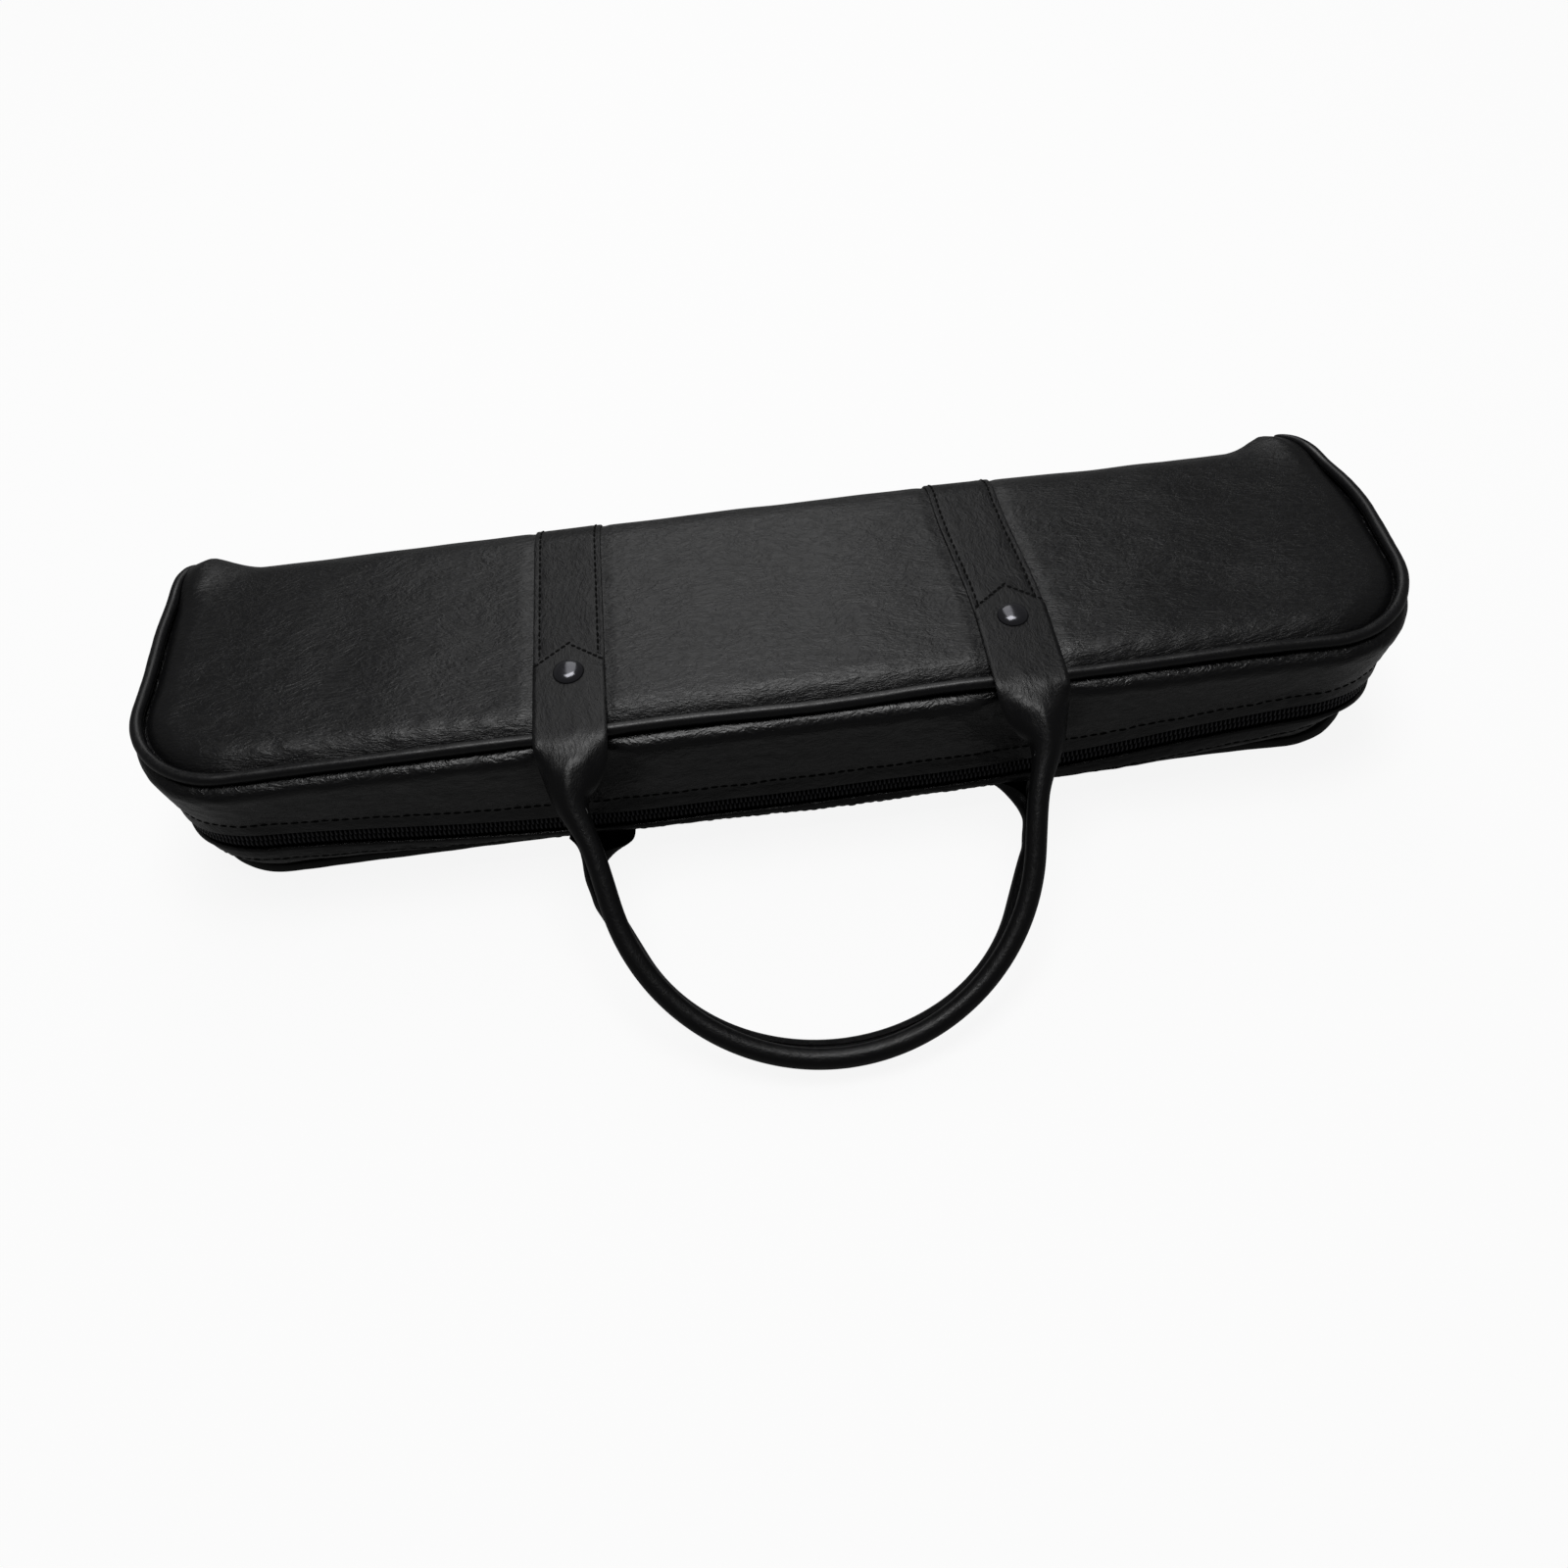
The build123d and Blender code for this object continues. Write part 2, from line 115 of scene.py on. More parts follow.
def leatherette(name, colour, roughness, crease, stretch, relief, shine):
    """Black polyurethane leatherette, embossed like soft milled hide. Two layers of fine creases are
    the lines where a stretched noise crosses its middle value, and a slow noise turns their direction
    from place to place. crease is their spacing and relief their depth in millimetres, and stretch
    draws them out along the piece. Under them are soft swells. In the creases the gloss is duller, and
    the colour is painted darker towards #070708 as painted shade. shine is the strength of the
    reflection, 0.5 for bare film and less where it is dusted matt."""
    material, tree = new_material(name)
    place = node(tree, "ShaderNodeUVMap", {"uv_map": "surface"}).outputs["UV"]
    slow = node(tree, "ShaderNodeTexNoise", {"Scale": 1000 / 24, "Detail": 1.5}, {"Vector": place})
    bent = node(tree, "ShaderNodeVectorMath", {"operation": "MULTIPLY_ADD", 1: [13 * MM] * 3},
                {0: slow.outputs["Color"], 2: place})
    drawn = node(tree, "ShaderNodeVectorMath", {"operation": "MULTIPLY", 1: (1 / stretch, 1, 1)},
                 {0: bent.outputs[0]})
    layers = []
    for spacing, width in ((crease * 1.5, 0.11), (crease * 0.8, 0.13)):
        field = node(tree, "ShaderNodeTexNoise", {"Scale": 1000 / spacing, "Detail": 1.5,
                                                  "Roughness": 0.45, "Distortion": 0.5},
                     {"Vector": drawn.outputs[0]})
        middle = node(tree, "ShaderNodeMath", {"operation": "SUBTRACT", 1: 0.5}, {0: field.outputs["Fac"]})
        far = node(tree, "ShaderNodeMath", {"operation": "ABSOLUTE"}, {0: middle.outputs[0]})
        edge = node(tree, "ShaderNodeMapRange", {"interpolation_type": "SMOOTHSTEP", "From Max": width},
                    {"Value": far.outputs[0]})
        layers.append(edge.outputs[0])
    swell = node(tree, "ShaderNodeTexNoise", {"Scale": 1000 / (crease * 2.6), "Detail": 5.0,
                                              "Roughness": 0.62}, {"Vector": drawn.outputs[0]})
    grain = node(tree, "ShaderNodeMix", {"data_type": "FLOAT", 0: 0.45}, {2: layers[0], 3: layers[1]})
    height = node(tree, "ShaderNodeMath", {"operation": "MULTIPLY_ADD", 1: 6.0},
                  {0: swell.outputs["Fac"], 2: grain.outputs[0]})
    bump = node(tree, "ShaderNodeBump", {"Strength": 1.0, "Distance": relief * MM},
                {"Height": height.outputs[0]})
    gloss = node(tree, "ShaderNodeMapRange", {"To Min": roughness + 0.12, "To Max": roughness - 0.03},
                 {"Value": grain.outputs[0]})
    # Painted shade: the crease lines are painted darker, towards #070708, where the bump sinks.
    tone = node(tree, "ShaderNodeMix", {"data_type": "RGBA", 6: rgb("#070708"), 7: rgb(colour)},
                {0: grain.outputs[0]})
    film = node(tree, "ShaderNodeBsdfPrincipled", {"IOR": 1.45, "Specular IOR Level": shine},
                {"Base Color": tone.outputs[2], "Roughness": gloss.outputs[0], "Normal": bump.outputs[0]})
    node(tree, "ShaderNodeOutputMaterial", {}, {"Surface": film.outputs[0]})
    return material


def ramp(x, low, high):
    """Smooth step from 0 at low to 1 at high."""
    t = np.clip((np.asarray(x, float) - low) / (high - low), 0, 1)
    return t * t * (3 - 2 * t)


def ripples(a, b, wave, seed):
    """Random relief of about -1 to 1 over two lengths: the sum of twelve plane waves of random
    heading and phase, with wavelengths round the one given."""
    random = np.random.default_rng(seed)
    total = 0
    for heading, phase, share in random.uniform((0, 0, 0.7), (math.tau, math.tau, 1.5), (12, 3)):
        along = a * math.cos(heading) + b * math.sin(heading)
        total = total + np.sin(along * math.tau / (wave * share) + phase)
    return total / 4


def sheet(outer, thickness):
    """The closed skin of a sheet as a loop of rows: its outer face, then its inner face, which is
    the outer one set back along its normals."""
    normal = np.cross(np.gradient(outer, axis=1), np.gradient(outer, axis=0))
    normal /= np.maximum(np.linalg.norm(normal, axis=2, keepdims=True), 1e-9)
    return np.concatenate([outer, (outer - thickness * normal)[::-1]])


def add_piece(name, grids, material, capped=True, smooth=True):
    """One mesh of one or more grids of points, whose rows each close in a loop. Caps join the first
    half of a loop to the second at both ends. The UV map holds distances along and across in metres."""
    vertices, faces, coordinates, count = [], [], [], 0
    for points in grids if isinstance(grids, list) else [grids]:
        points = np.asarray(points, float) * MM
        rows, cols = points.shape[:2]
        r, c = np.meshgrid(np.arange(rows), np.arange(cols - 1), indexing="ij")
        corner_rows = np.stack([r, r, r + 1, r + 1], -1).reshape(-1, 4)
        corner_cols = np.stack([c, c + 1, c + 1, c], -1).reshape(-1, 4)
        if capped:
            first = np.arange(rows // 2 - 1)
            across = np.stack([first, first + 1, rows - 2 - first, rows - 1 - first], -1)
            corner_rows = np.concatenate([corner_rows, across, across])
            ends = np.repeat([0, cols - 1], len(first))[:, None] * np.ones((1, 4), int)
            corner_cols = np.concatenate([corner_cols, ends])
        along = np.linalg.norm(np.diff(points, axis=1), axis=2).mean(0)
        around = np.linalg.norm(np.diff(points, axis=0, append=points[:1]), axis=2).mean(1)
        u, v = np.append(0, along.cumsum()), np.append(0, around.cumsum())
        vertices.append(points.reshape(-1, 3))
        faces.append(corner_rows % rows * cols + corner_cols + count)
        coordinates.append(np.stack([u[corner_cols], v[corner_rows]], -1).reshape(-1, 2))
        count += rows * cols
    mesh = bpy.data.meshes.new(name)
    mesh.from_pydata(np.concatenate(vertices), [], np.concatenate(faces).tolist())
    mesh.uv_layers.new(name="surface").data.foreach_set("uv", np.concatenate(coordinates).ravel())
    return finish_piece(name, mesh, material, smooth)


def finish_piece(name, mesh, material, smooth=True):
    """Closes seams and poles, turns the faces outwards and makes the mesh an object."""
    shape = bmesh.new()
    shape.from_mesh(mesh)
    bmesh.ops.remove_doubles(shape, verts=shape.verts, dist=1e-6)
    bmesh.ops.recalc_face_normals(shape, faces=shape.faces)
    shape.to_mesh(mesh)
    shape.free()
    mesh.materials.append(material)
    mesh.polygons.foreach_set("use_smooth", [smooth] * len(mesh.polygons))
    if smooth:
        mesh.set_sharp_from_angle(angle=math.radians(50))
    piece = bpy.data.objects.new(name, mesh)
    bpy.context.scene.collection.objects.link(piece)
    return piece


def wrap_section(v):
    """Place and outward normal on the cover's section, v along it from where the top meets the round
    back: the top, a quarter arc, the back, a quarter arc and the bottom."""
    turned = np.clip(v, 0, wrap_arc) + np.clip(v - wrap_arc - back_straight, 0, wrap_arc)
    angle = turned / wrap_radius
    y = wrap_y + np.minimum(v, 0) + wrap_radius * np.sin(angle) - np.maximum(v - round_back, 0)
    z = wrap_radius * (1 + np.cos(angle)) + back_straight - np.clip(v - wrap_arc, 0, back_straight)
    return y, z, np.sin(angle), np.cos(angle)


def ear(x, v):
    """How far the back corners of the lid stand up, as the piping there holds the cover out."""
    return 5.0 * np.clip((abs(x) - 179) / 19, 0, 1) ** 1.6 * np.exp(-((v - 15) / 15) ** 2)


def strap_middle(side, v):
    """Middle of a strap along the case: the right one leans a little to the left towards the back."""
    lean = ramp(v, -60, 0) * (1 - ramp(v, round_back - 10, round_back + 60))
    return strap_places[side] - 4.0 * (side == "right") * lean


def strap_bed(x, v):
    """How far the straps press the cover in: little on the lid, their own thickness under the base,
    and the thickness of the handle's tabs more near its front edge."""
    depth = 0.3 + 0.6 * ramp(v, round_back - 12, round_back) + 0.9 * ramp(v, round_back + 40, round_back + 45)
    pressed = sum(1 - ramp(abs(x - strap_middle(side, v)), 11.9, 15) for side in strap_places)
    return depth * pressed


def cover_relief(x, v):
    """The cover's height over its plain section: the edge rolled in towards the piping, the ears,
    slack at the back and bottom, a shallow dent, the crease of the fold, and soft swells."""
    y = wrap_section(v)[0]
    inset = edge_inset(v)
    beyond_x, beyond_y = np.maximum(abs(x) - corner_x, 0), np.maximum(corner_y - y, 0)
    edge = corner_radius - inset - np.hypot(beyond_x, beyond_y)
    rolled = 1 - np.clip(edge / 11, 0, 1)
    held = 1 - 0.65 * np.exp(-((v - 15) / 16) ** 2)
    height = ear(x, v) - 4.4 * held * rolled ** 2.6 - 0.6 * ramp(v, round_back - 12, round_back + 4)
    height = height - 1.2 * ramp(x, 40, 150) * np.exp(-((v - 14) / 14) ** 2)
    height = height - 0.9 * np.exp(-((x - 142) / 17) ** 2 - ((y + 24) / 10) ** 2) * (v < 0)
    height = height - 0.8 * np.exp(-((v - hinge_v) / 2.2) ** 2)
    calm = ramp(edge, 0, 6)
    height = height + 0.18 * calm * ripples(x, v, 46, 1) + 0.06 * ripples(x * 0.6, v, 11, 2) * calm
    pinch = np.exp(-((edge - 6) / 5) ** 2)
    along_front = np.exp(-((edge - 10) / 6) ** 2) * (v < 0) * (1 - ramp(abs(x - 5), 80, 150))
    height = height + 0.11 * along_front * ripples(x * 0.28, v, 4.2, 33)
    return height + 0.07 * pinch * ripples(x, v, 7, 3) - strap_bed(x, v)


def drawn_in(x, y, z):
    """The soft top draws the back corners inwards, more at the right: a shift of x towards the middle
    that grows with the square of the distance back, near the ends and near the top only."""
    right = 13.0 * np.clip(y / 44.6, 0, 1.1) ** 2
    left = 1.2 * ramp(y, -30, 0) + 5.6 * np.clip((y - 8) / 41, 0, 1.05) ** 2
    pull = np.where(np.asarray(x) > 0, right, left) * ramp(z, 46, 59) * ramp(abs(x), 110, 195)
    return x - np.sign(x) * pull


def edge_inset(v):
    """The cover's edge in from the piping line of the lid: less at the top than at the bottom, and out
    over the ends of the gussets where the back bends."""
    over_gusset = 3.0 * np.exp(-((v - hinge_v) / 4.5) ** 2)
    beside_ear = 0.8 * np.exp(-((v - 18) / 12) ** 2)
    return 2.3 + 4.7 * ramp(v, hinge_v + 3, hinge_v + 11) - over_gusset - beside_ear


def on_cover(x, v, lift=0.0):
    """A point on the finished cover, or lifted off it."""
    y, z, normal_y, normal_z = wrap_section(v)
    rise = cover_relief(x, v) + lift
    y, z = y + normal_y * rise, z + normal_z * rise
    return np.stack(np.broadcast_arrays(drawn_in(x, y, z), y, z), -1)


def cover_rows():
    """Distances along the section, closer where the front corners and the back edge curve."""
    quarter = np.linspace(0, math.pi / 2, 26)
    front = wrap_y - corner_y
    top = -front - (corner_radius - edge_inset(-front)) * np.cos(quarter)[:-1]
    low = front - (corner_radius - edge_inset(round_back + front)) * -np.sin(quarter)[1:]
    return np.concatenate([top, np.linspace(-front, -2, 26), np.linspace(0, round_back, 44),
                           round_back + np.linspace(2, front, 22), round_back + low])


rows = cover_rows()[:, None]
columns = np.linspace(-1, 1, 300)
columns = 0.62 * columns + 0.38 * np.sin(columns * math.pi / 2)
reach_in = corner_radius - edge_inset(rows)
half_width = corner_x + np.sqrt(np.maximum(
    reach_in ** 2 - np.maximum(corner_y - wrap_section(rows)[0], 0) ** 2, 0))
cover_grain = leatherette("black_leatherette", "#0e0e0f", 0.34, 1.5, 2.4, 0.065, 0.31)
cover = add_piece("cover", sheet(on_cover(half_width * columns, rows + 0 * columns), cover_thickness),
                  cover_grain)
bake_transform(cover)
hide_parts("upper_cover_panel", "lower_cover_panel", "spine_fold")

# ---- Piping ----
# A cord in a strip of the same leatherette, sewn in between panel and gusset. The upper one runs up a
# back corner, round the lid and down the other; the lower one is tucked in under the case.
lower_inset = half_length - (lower_piping_high.x / MM - piping_radius)
corner_arc = corner_radius * math.pi / 2
end_start = corner_x + corner_arc
end_straight = wrap_y - corner_y
rim_levels = {1: (piping_high.z / MM - piping_radius, 0.0),
              -1: (lower_piping_low.z / MM + piping_radius, lower_inset)}


def round_case(s, outset, z):
    """A point at distance s from the middle of the front, along the straight front, the round
    corner and the straight end, set out from the piping line."""
    side, far = np.sign(s), abs(s)
    angle = np.clip(far - corner_x, 0, corner_arc) / corner_radius
    x = side * (np.minimum(far, corner_x) + (corner_radius + outset) * np.sin(angle))
    y = corner_y - (corner_radius + outset) * np.cos(angle) + np.maximum(far - end_start, 0)
    return np.stack(np.broadcast_arrays(drawn_in(x, y, z), y, z), -1)


def rim_line(q, side):
    """The piping's line at distance q from the middle of the front: its place s and height z, and
    the two parts of the direction away from the case, upwards and then backwards round the back.
    side is 1 for the lid and -1 for the base."""
    level = rim_levels[side][0]
    drop = top_z - level if side > 0 else level
    radius = wrap_radius - drop
    centre_z = top_z - wrap_radius if side > 0 else wrap_radius
    far = abs(q) - end_start - end_straight
    angle = np.clip(far / radius, 0, math.pi / 2)
    stand = 4.2 * np.exp(-((far - 15) / 13) ** 2) * ramp(far, -10, 6) * (side > 0)
    s = np.minimum(abs(q), end_start + end_straight) + (radius + stand) * np.sin(angle)
    z = centre_z + side * ((radius + stand) * np.cos(angle) - np.maximum(far - radius * math.pi / 2, 0))
    return np.sign(q) * s, z, np.sign(q) * np.sin(angle), side * np.cos(angle)


def piping_end(side, end_z):
    """The distance q at which the piping has come down or up to a height."""
    level = rim_levels[side][0]
    radius = wrap_radius - (top_z - level if side > 0 else level)
    centre_z = top_z - wrap_radius if side > 0 else wrap_radius
    return end_start + end_straight + radius * math.pi / 2 + side * (centre_z - end_z)


def add_piping(name, side, end_z, node_name, body):
    """Round tube on the rim line, with the slight waves that sewing leaves in it."""
    q_end = piping_end(side, end_z)
    q = np.linspace(-q_end, q_end, 700)
    s, z, back, up = rim_line(q, side)
    turn = np.linspace(0, math.tau, 16, endpoint=False)[:, None]
    radius = piping_radius + 0.05 * ripples(q, 0 * q, 14, 4) + 0.02 * ripples(q, turn * 3, 5, 5)
    outset = -rim_levels[side][1] + 0.3 * ripples(q, 0 * q, 60, 6)
    tube = round_case(s + radius * np.sin(turn) * back, outset + radius * np.cos(turn),
                      z + radius * np.sin(turn) * up + 0.25 * ripples(q, 0 * q, 70, 7) * abs(up))
    piece = add_piece(name, tube, piping_grain)
    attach(piece, body)
    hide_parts(node_name)


piping_grain = leatherette("piping_leatherette", "#08080a", 0.34, 1.6, 1.0, 0.006, 0.38)
add_piping("lid_piping", 1, hinge_z + 1.6, "upper_piping", "lid")
add_piping("base_piping", -1, hinge_z - 1.6, "lower_piping", "base")

# ---- Gusset ----
# The soft band round the three open sides, leatherette over thin foam. Its top rolls out under the
# piping and its edge is folded in beside the zip, with one row of stitches. It sags at mid front.
zip_rest = coil_high.x / MM - half_length
stitch_setback = 4.6
gusset_heights = {1: 27.0, -1: 14.0}
fold_gap = 4.8
fold_step = 0.7


def zip_sag(s):
    """0 at the middle of the front, where the band hangs lowest, and 1 from the corners on."""
    return np.sin(np.minimum(abs(s) / 190, 1) * math.pi / 2) ** 4


def zip_line(s):
    """Height of the zip and outset of its face: low and pushed out at mid front, high at the front
    corners, and back to the fold line at the ends of the zip."""
    after = np.clip((abs(s) - 176) / 38, 0, 1)
    z = hinge_z - 4.8 + 9.4 * zip_sag(s) - 2.3 * (1 - np.cos(after * math.pi))
    outset = zip_rest + 2.4 * (1 - zip_sag(s))
    return z, outset + 0.12 * ripples(s, 0 * s, 55, 8)


def gusset_face(q, v, side):
    """Outer face of the gusset, v from 0 under the piping to 1 at the folded edge: a straight run
    between the two lines, with a soft shelf under the piping of the lid, where the straps hold it in
    a little, sags in the base, and puckers beside the stitches."""
    top_s, top_z_line, back, up = rim_line(q, side)
    tucked = piping_radius * 0.9
    top_s, top_z_line = top_s - tucked * back, top_z_line - tucked * up
    q_end = piping_end(side, hinge_z + side * (fold_gap + 1))
    low_s = q - np.sign(q) * ramp(abs(q), 225, q_end) * (q_end - end_start - (back_y - 4.2 - corner_y))
    low_z, low_outset = zip_line(low_s)
    s = top_s + (low_s - top_s) * v
    z = top_z_line + (low_z + side * fold_gap - top_z_line) * v
    straight = -rim_levels[side][1] - 0.4 + (low_outset + fold_step + rim_levels[side][1] + 0.4) * v
    size = (1 - 0.6 * ramp(abs(q), 182, 222)) * (1 - 0.6 * ramp(abs(q), q_end - 50, q_end))
    if side > 0:
        down = v * (top_z_line - low_z - fold_gap)
        shelf = np.sqrt(1 - (1 - np.clip(down / 5.6, 0, 1)) ** 2.8)
        roll = 6.8 * shelf * (1 - v) ** 1.2 - 0.6 * np.sin(math.pi * np.clip((v - 0.6) / 0.38, 0, 1))
        for middle in strap_places.values():
            roll = roll * (1 - 0.3 * (1 - ramp(abs(q - middle), 9, 20)))
        seam = 1 - stitch_setback / gusset_heights[side]
    else:
        sag = 1.4 * np.exp(-((q - 20) / 40) ** 2) + 2.2 * np.exp(-((q - 112) / 36) ** 2)
        sag = sag - 4.5 * np.exp(-((q - 198) / 20) ** 2) - 1.8 * np.exp(-((q + 204) / 16) ** 2)
        roll = (2.2 + sag) * np.sin(math.pi * v) ** 0.9
        seam = 1 - stitch_setback / gusset_heights[side]
    near = np.exp(-((v - seam) / 0.13) ** 2)
    dimple = -0.45 * np.exp(-((v - seam) / 0.035) ** 2)
    lumps = 0.14 * ripples(q, v * 22, 17, 9 + side) + 0.12 * near * ripples(q, v * 8, 5.5, 12)
    crumple = 0.08 * ramp(v, 0, 0.1) * ripples(q, v * 40, 7, 14)
    relief = (lumps + crumple) * ramp(v, 0, 0.12) * ramp(1 - v, 0, 0.1)
    return s, straight + (roll * size + relief) + dimple, z


def add_gusset(name, side, node_name, body, rows_out):
    """The band with its folded edge: the outer face, round the fold, and back up inside."""
    q_end = piping_end(side, hinge_z + side * (fold_gap + 1))
    q = np.linspace(-q_end, q_end, 620)
    v = np.linspace(0, 1, rows_out)[:, None] ** (1.8 if side > 0 else 1)
    s, outset, z = gusset_face(q, v, side)
    inner = outset - 2.0
    turn = np.linspace(0.15, math.pi - 0.15, 5)[:, None]
    fold_outset = outset[-1:] - 1.0 + np.cos(turn)
    fold_z = z[-1:] - side * 0.9 * np.sin(turn)
    s_loop = np.concatenate([s, np.repeat(s[-1:], 5, 0), s[::-1]])
    points = round_case(s_loop, np.concatenate([outset, fold_outset, inner[::-1]]),
                        np.concatenate([z, fold_z, z[::-1]]))
    if len(points) % 2:
        points = np.concatenate([points, points[-1:]])
    piece = add_piece(name, points, gusset_shaded_leatherette)
    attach(piece, body)
    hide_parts(node_name)


def bead(sides=6, bands=4):
    """Points and faces of a small ball of unit radius, drawn out along its first axis."""
    ring = np.linspace(0, math.tau, sides, endpoint=False)
    height = np.linspace(0, math.pi, bands + 1)[1:-1, None]
    belt = np.stack(np.broadcast_arrays(
        np.cos(height), np.sin(height) * np.cos(ring), np.sin(height) * np.sin(ring)), -1)
    points = np.concatenate([belt.reshape(-1, 3), [(1, 0, 0), (-1, 0, 0)]])
    step, tip = np.arange(sides), len(points) - 2
    after = (step + 1) % sides
    faces = [(i, j, j + sides, i + sides) for k in range(bands - 2)
             for i, j in zip(step + k * sides, after + k * sides)]
    last = (bands - 2) * sides
    faces += [(tip, j, i) for i, j in zip(step, after)]
    faces += [(tip + 1, i + last, j + last) for i, j in zip(step, after)]
    return points, faces


def add_beads(name, centres, along, up, size, material):
    """Many small balls at once, each stretched to size along its own axes, in one mesh."""
    points, faces = bead()
    along = along / np.linalg.norm(along, axis=1, keepdims=True)
    across = np.cross(up, along)
    across /= np.linalg.norm(across, axis=1, keepdims=True)
    frames = np.stack([along, across, np.cross(along, across)], 1) * np.array(size)[:, None]
    placed = (centres[:, None] + np.einsum("pk,nkd->npd", points, frames)) * MM
    quads = [f for f in faces if len(f) == 4]
    threes = [f for f in faces if len(f) == 3]
    shift = (np.arange(len(centres)) * len(points))[:, None, None]
    all_faces = []
    for group in (quads, threes):
        all_faces += (np.array(group)[None] + shift).reshape(-1, len(group[0])).tolist()
    mesh = bpy.data.meshes.new(name)
    mesh.from_pydata(placed.reshape(-1, 3), [], all_faces)
    return finish_piece(name, mesh, material)


def thread(name):
    """Bonded polyester sewing thread, black and dull beside the leatherette, with its twist as a fine
    bump about 0.25 mm apart."""
    material, tree = new_material(name)
    place = node(tree, "ShaderNodeTexCoord").outputs["Object"]
    twist = node(tree, "ShaderNodeTexNoise", {"Scale": 1000 / 0.25, "Detail": 1.0}, {"Vector": place})
    bump = node(tree, "ShaderNodeBump", {"Strength": 0.4, "Distance": 0.05 * MM},
                {"Height": twist.outputs["Fac"]})
    fibre = node(tree, "ShaderNodeBsdfPrincipled", {"Base Color": rgb("#030303"), "Roughness": 0.8,
                                                    "Specular IOR Level": 0.1}, {"Normal": bump.outputs[0]})
    node(tree, "ShaderNodeOutputMaterial", {}, {"Surface": fibre.outputs[0]})
    return material


def add_gusset_stitches(name, side, body):
    """One row of 2.6 mm stitches, beside the folded edge."""
    q_end = piping_end(side, hinge_z + side * (fold_gap + 1)) - 6
    q = np.arange(-q_end, q_end, 3.2)
    seam = 1 - stitch_setback / gusset_heights[side]
    s, outset, z = gusset_face(q, np.full(q.shape, seam), side)
    centres = round_case(s, outset + 0.22, z)
    along = np.gradient(centres, axis=0)
    up = round_case(s, outset + 1.2, z) - centres
    piece = add_beads(name, centres, along, up, (1.3, 0.42, 0.3), sewing_thread)
    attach(piece, body)


# Painted shade: the gusset is the cover's leatherette painted darker, #050506 against #0e0e0f, for the shade
# on the band.
gusset_shaded_leatherette = leatherette("gusset_leatherette_painted_shade", "#050506", 0.28, 1.8, 2.2, 0.08, 0.37)
sewing_thread = thread("sewing_thread")
add_gusset("lid_gusset", 1, "upper_gusset", "lid", 34)
add_gusset("base_gusset", -1, "lower_gusset", "base", 22)
add_gusset_stitches("lid_gusset_stitches", 1, "lid")
add_gusset_stitches("base_gusset_stitches", -1, "base")

# ---- Zip ----
# A nylon coil zip on woven tape, sewn in behind the folded edges. The two rows of the coil lock into
# each other, half a tooth apart, and a crimped stop closes each end of a row.
tooth_pitch = 1.5
tooth_reach = 1.75
coil_face = 1.0
row_ends = {1: coil_high.y / MM, -1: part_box("lower_zip_coil")[1].y / MM}


def woven_tape(name):
    """Polyester zip tape in a fine twill, drawn at 0.6 mm so that it shows: dull, with thread ridges
    that run slantwise and a slight nap."""
    material, tree = new_material(name)
    place = node(tree, "ShaderNodeUVMap", {"uv_map": "surface"}).outputs["UV"]
    slanted = node(tree, "ShaderNodeVectorRotate", {"rotation_type": "Z_AXIS", "Angle": math.radians(40)},
                   {"Vector": place})
    twill = node(tree, "ShaderNodeTexWave", {"Scale": 1000 / 0.6 / math.tau * 2, "Distortion": 0.6},
                 {"Vector": slanted.outputs[0]})
    bump = node(tree, "ShaderNodeBump", {"Strength": 0.6, "Distance": 0.12 * MM},
                {"Height": twill.outputs["Fac"]})
    tone = node(tree, "ShaderNodeMix", {"data_type": "RGBA", 6: rgb("#070708"), 7: rgb("#101011")},
                {0: twill.outputs["Fac"]})
    cloth = node(tree, "ShaderNodeBsdfPrincipled", {"Roughness": 0.8, "Specular IOR Level": 0.2,
                                                    "Sheen Weight": 0.05},
                 {"Base Color": tone.outputs[2], "Normal": bump.outputs[0]})
    node(tree, "ShaderNodeOutputMaterial", {}, {"Surface": cloth.outputs[0]})
    return material


def coil_nylon(name):
    """Drawn nylon monofilament, black and semi-glossy, faintly streaked along the wire."""
    material, tree = new_material(name)
    place = node(tree, "ShaderNodeTexCoord").outputs["Object"]
    streak = node(tree, "ShaderNodeTexNoise", {"Scale": 1000 / 0.8, "Detail": 2.0}, {"Vector": place})
    gloss = node(tree, "ShaderNodeMapRange", {"To Min": 0.3, "To Max": 0.5}, {"Value": streak.outputs["Fac"]})
    wire = node(tree, "ShaderNodeBsdfPrincipled", {"Base Color": rgb("#29292c"), "Specular IOR Level": 0.3},
                {"Roughness": gloss.outputs[0]})
    node(tree, "ShaderNodeOutputMaterial", {}, {"Surface": wire.outputs[0]})
    return material


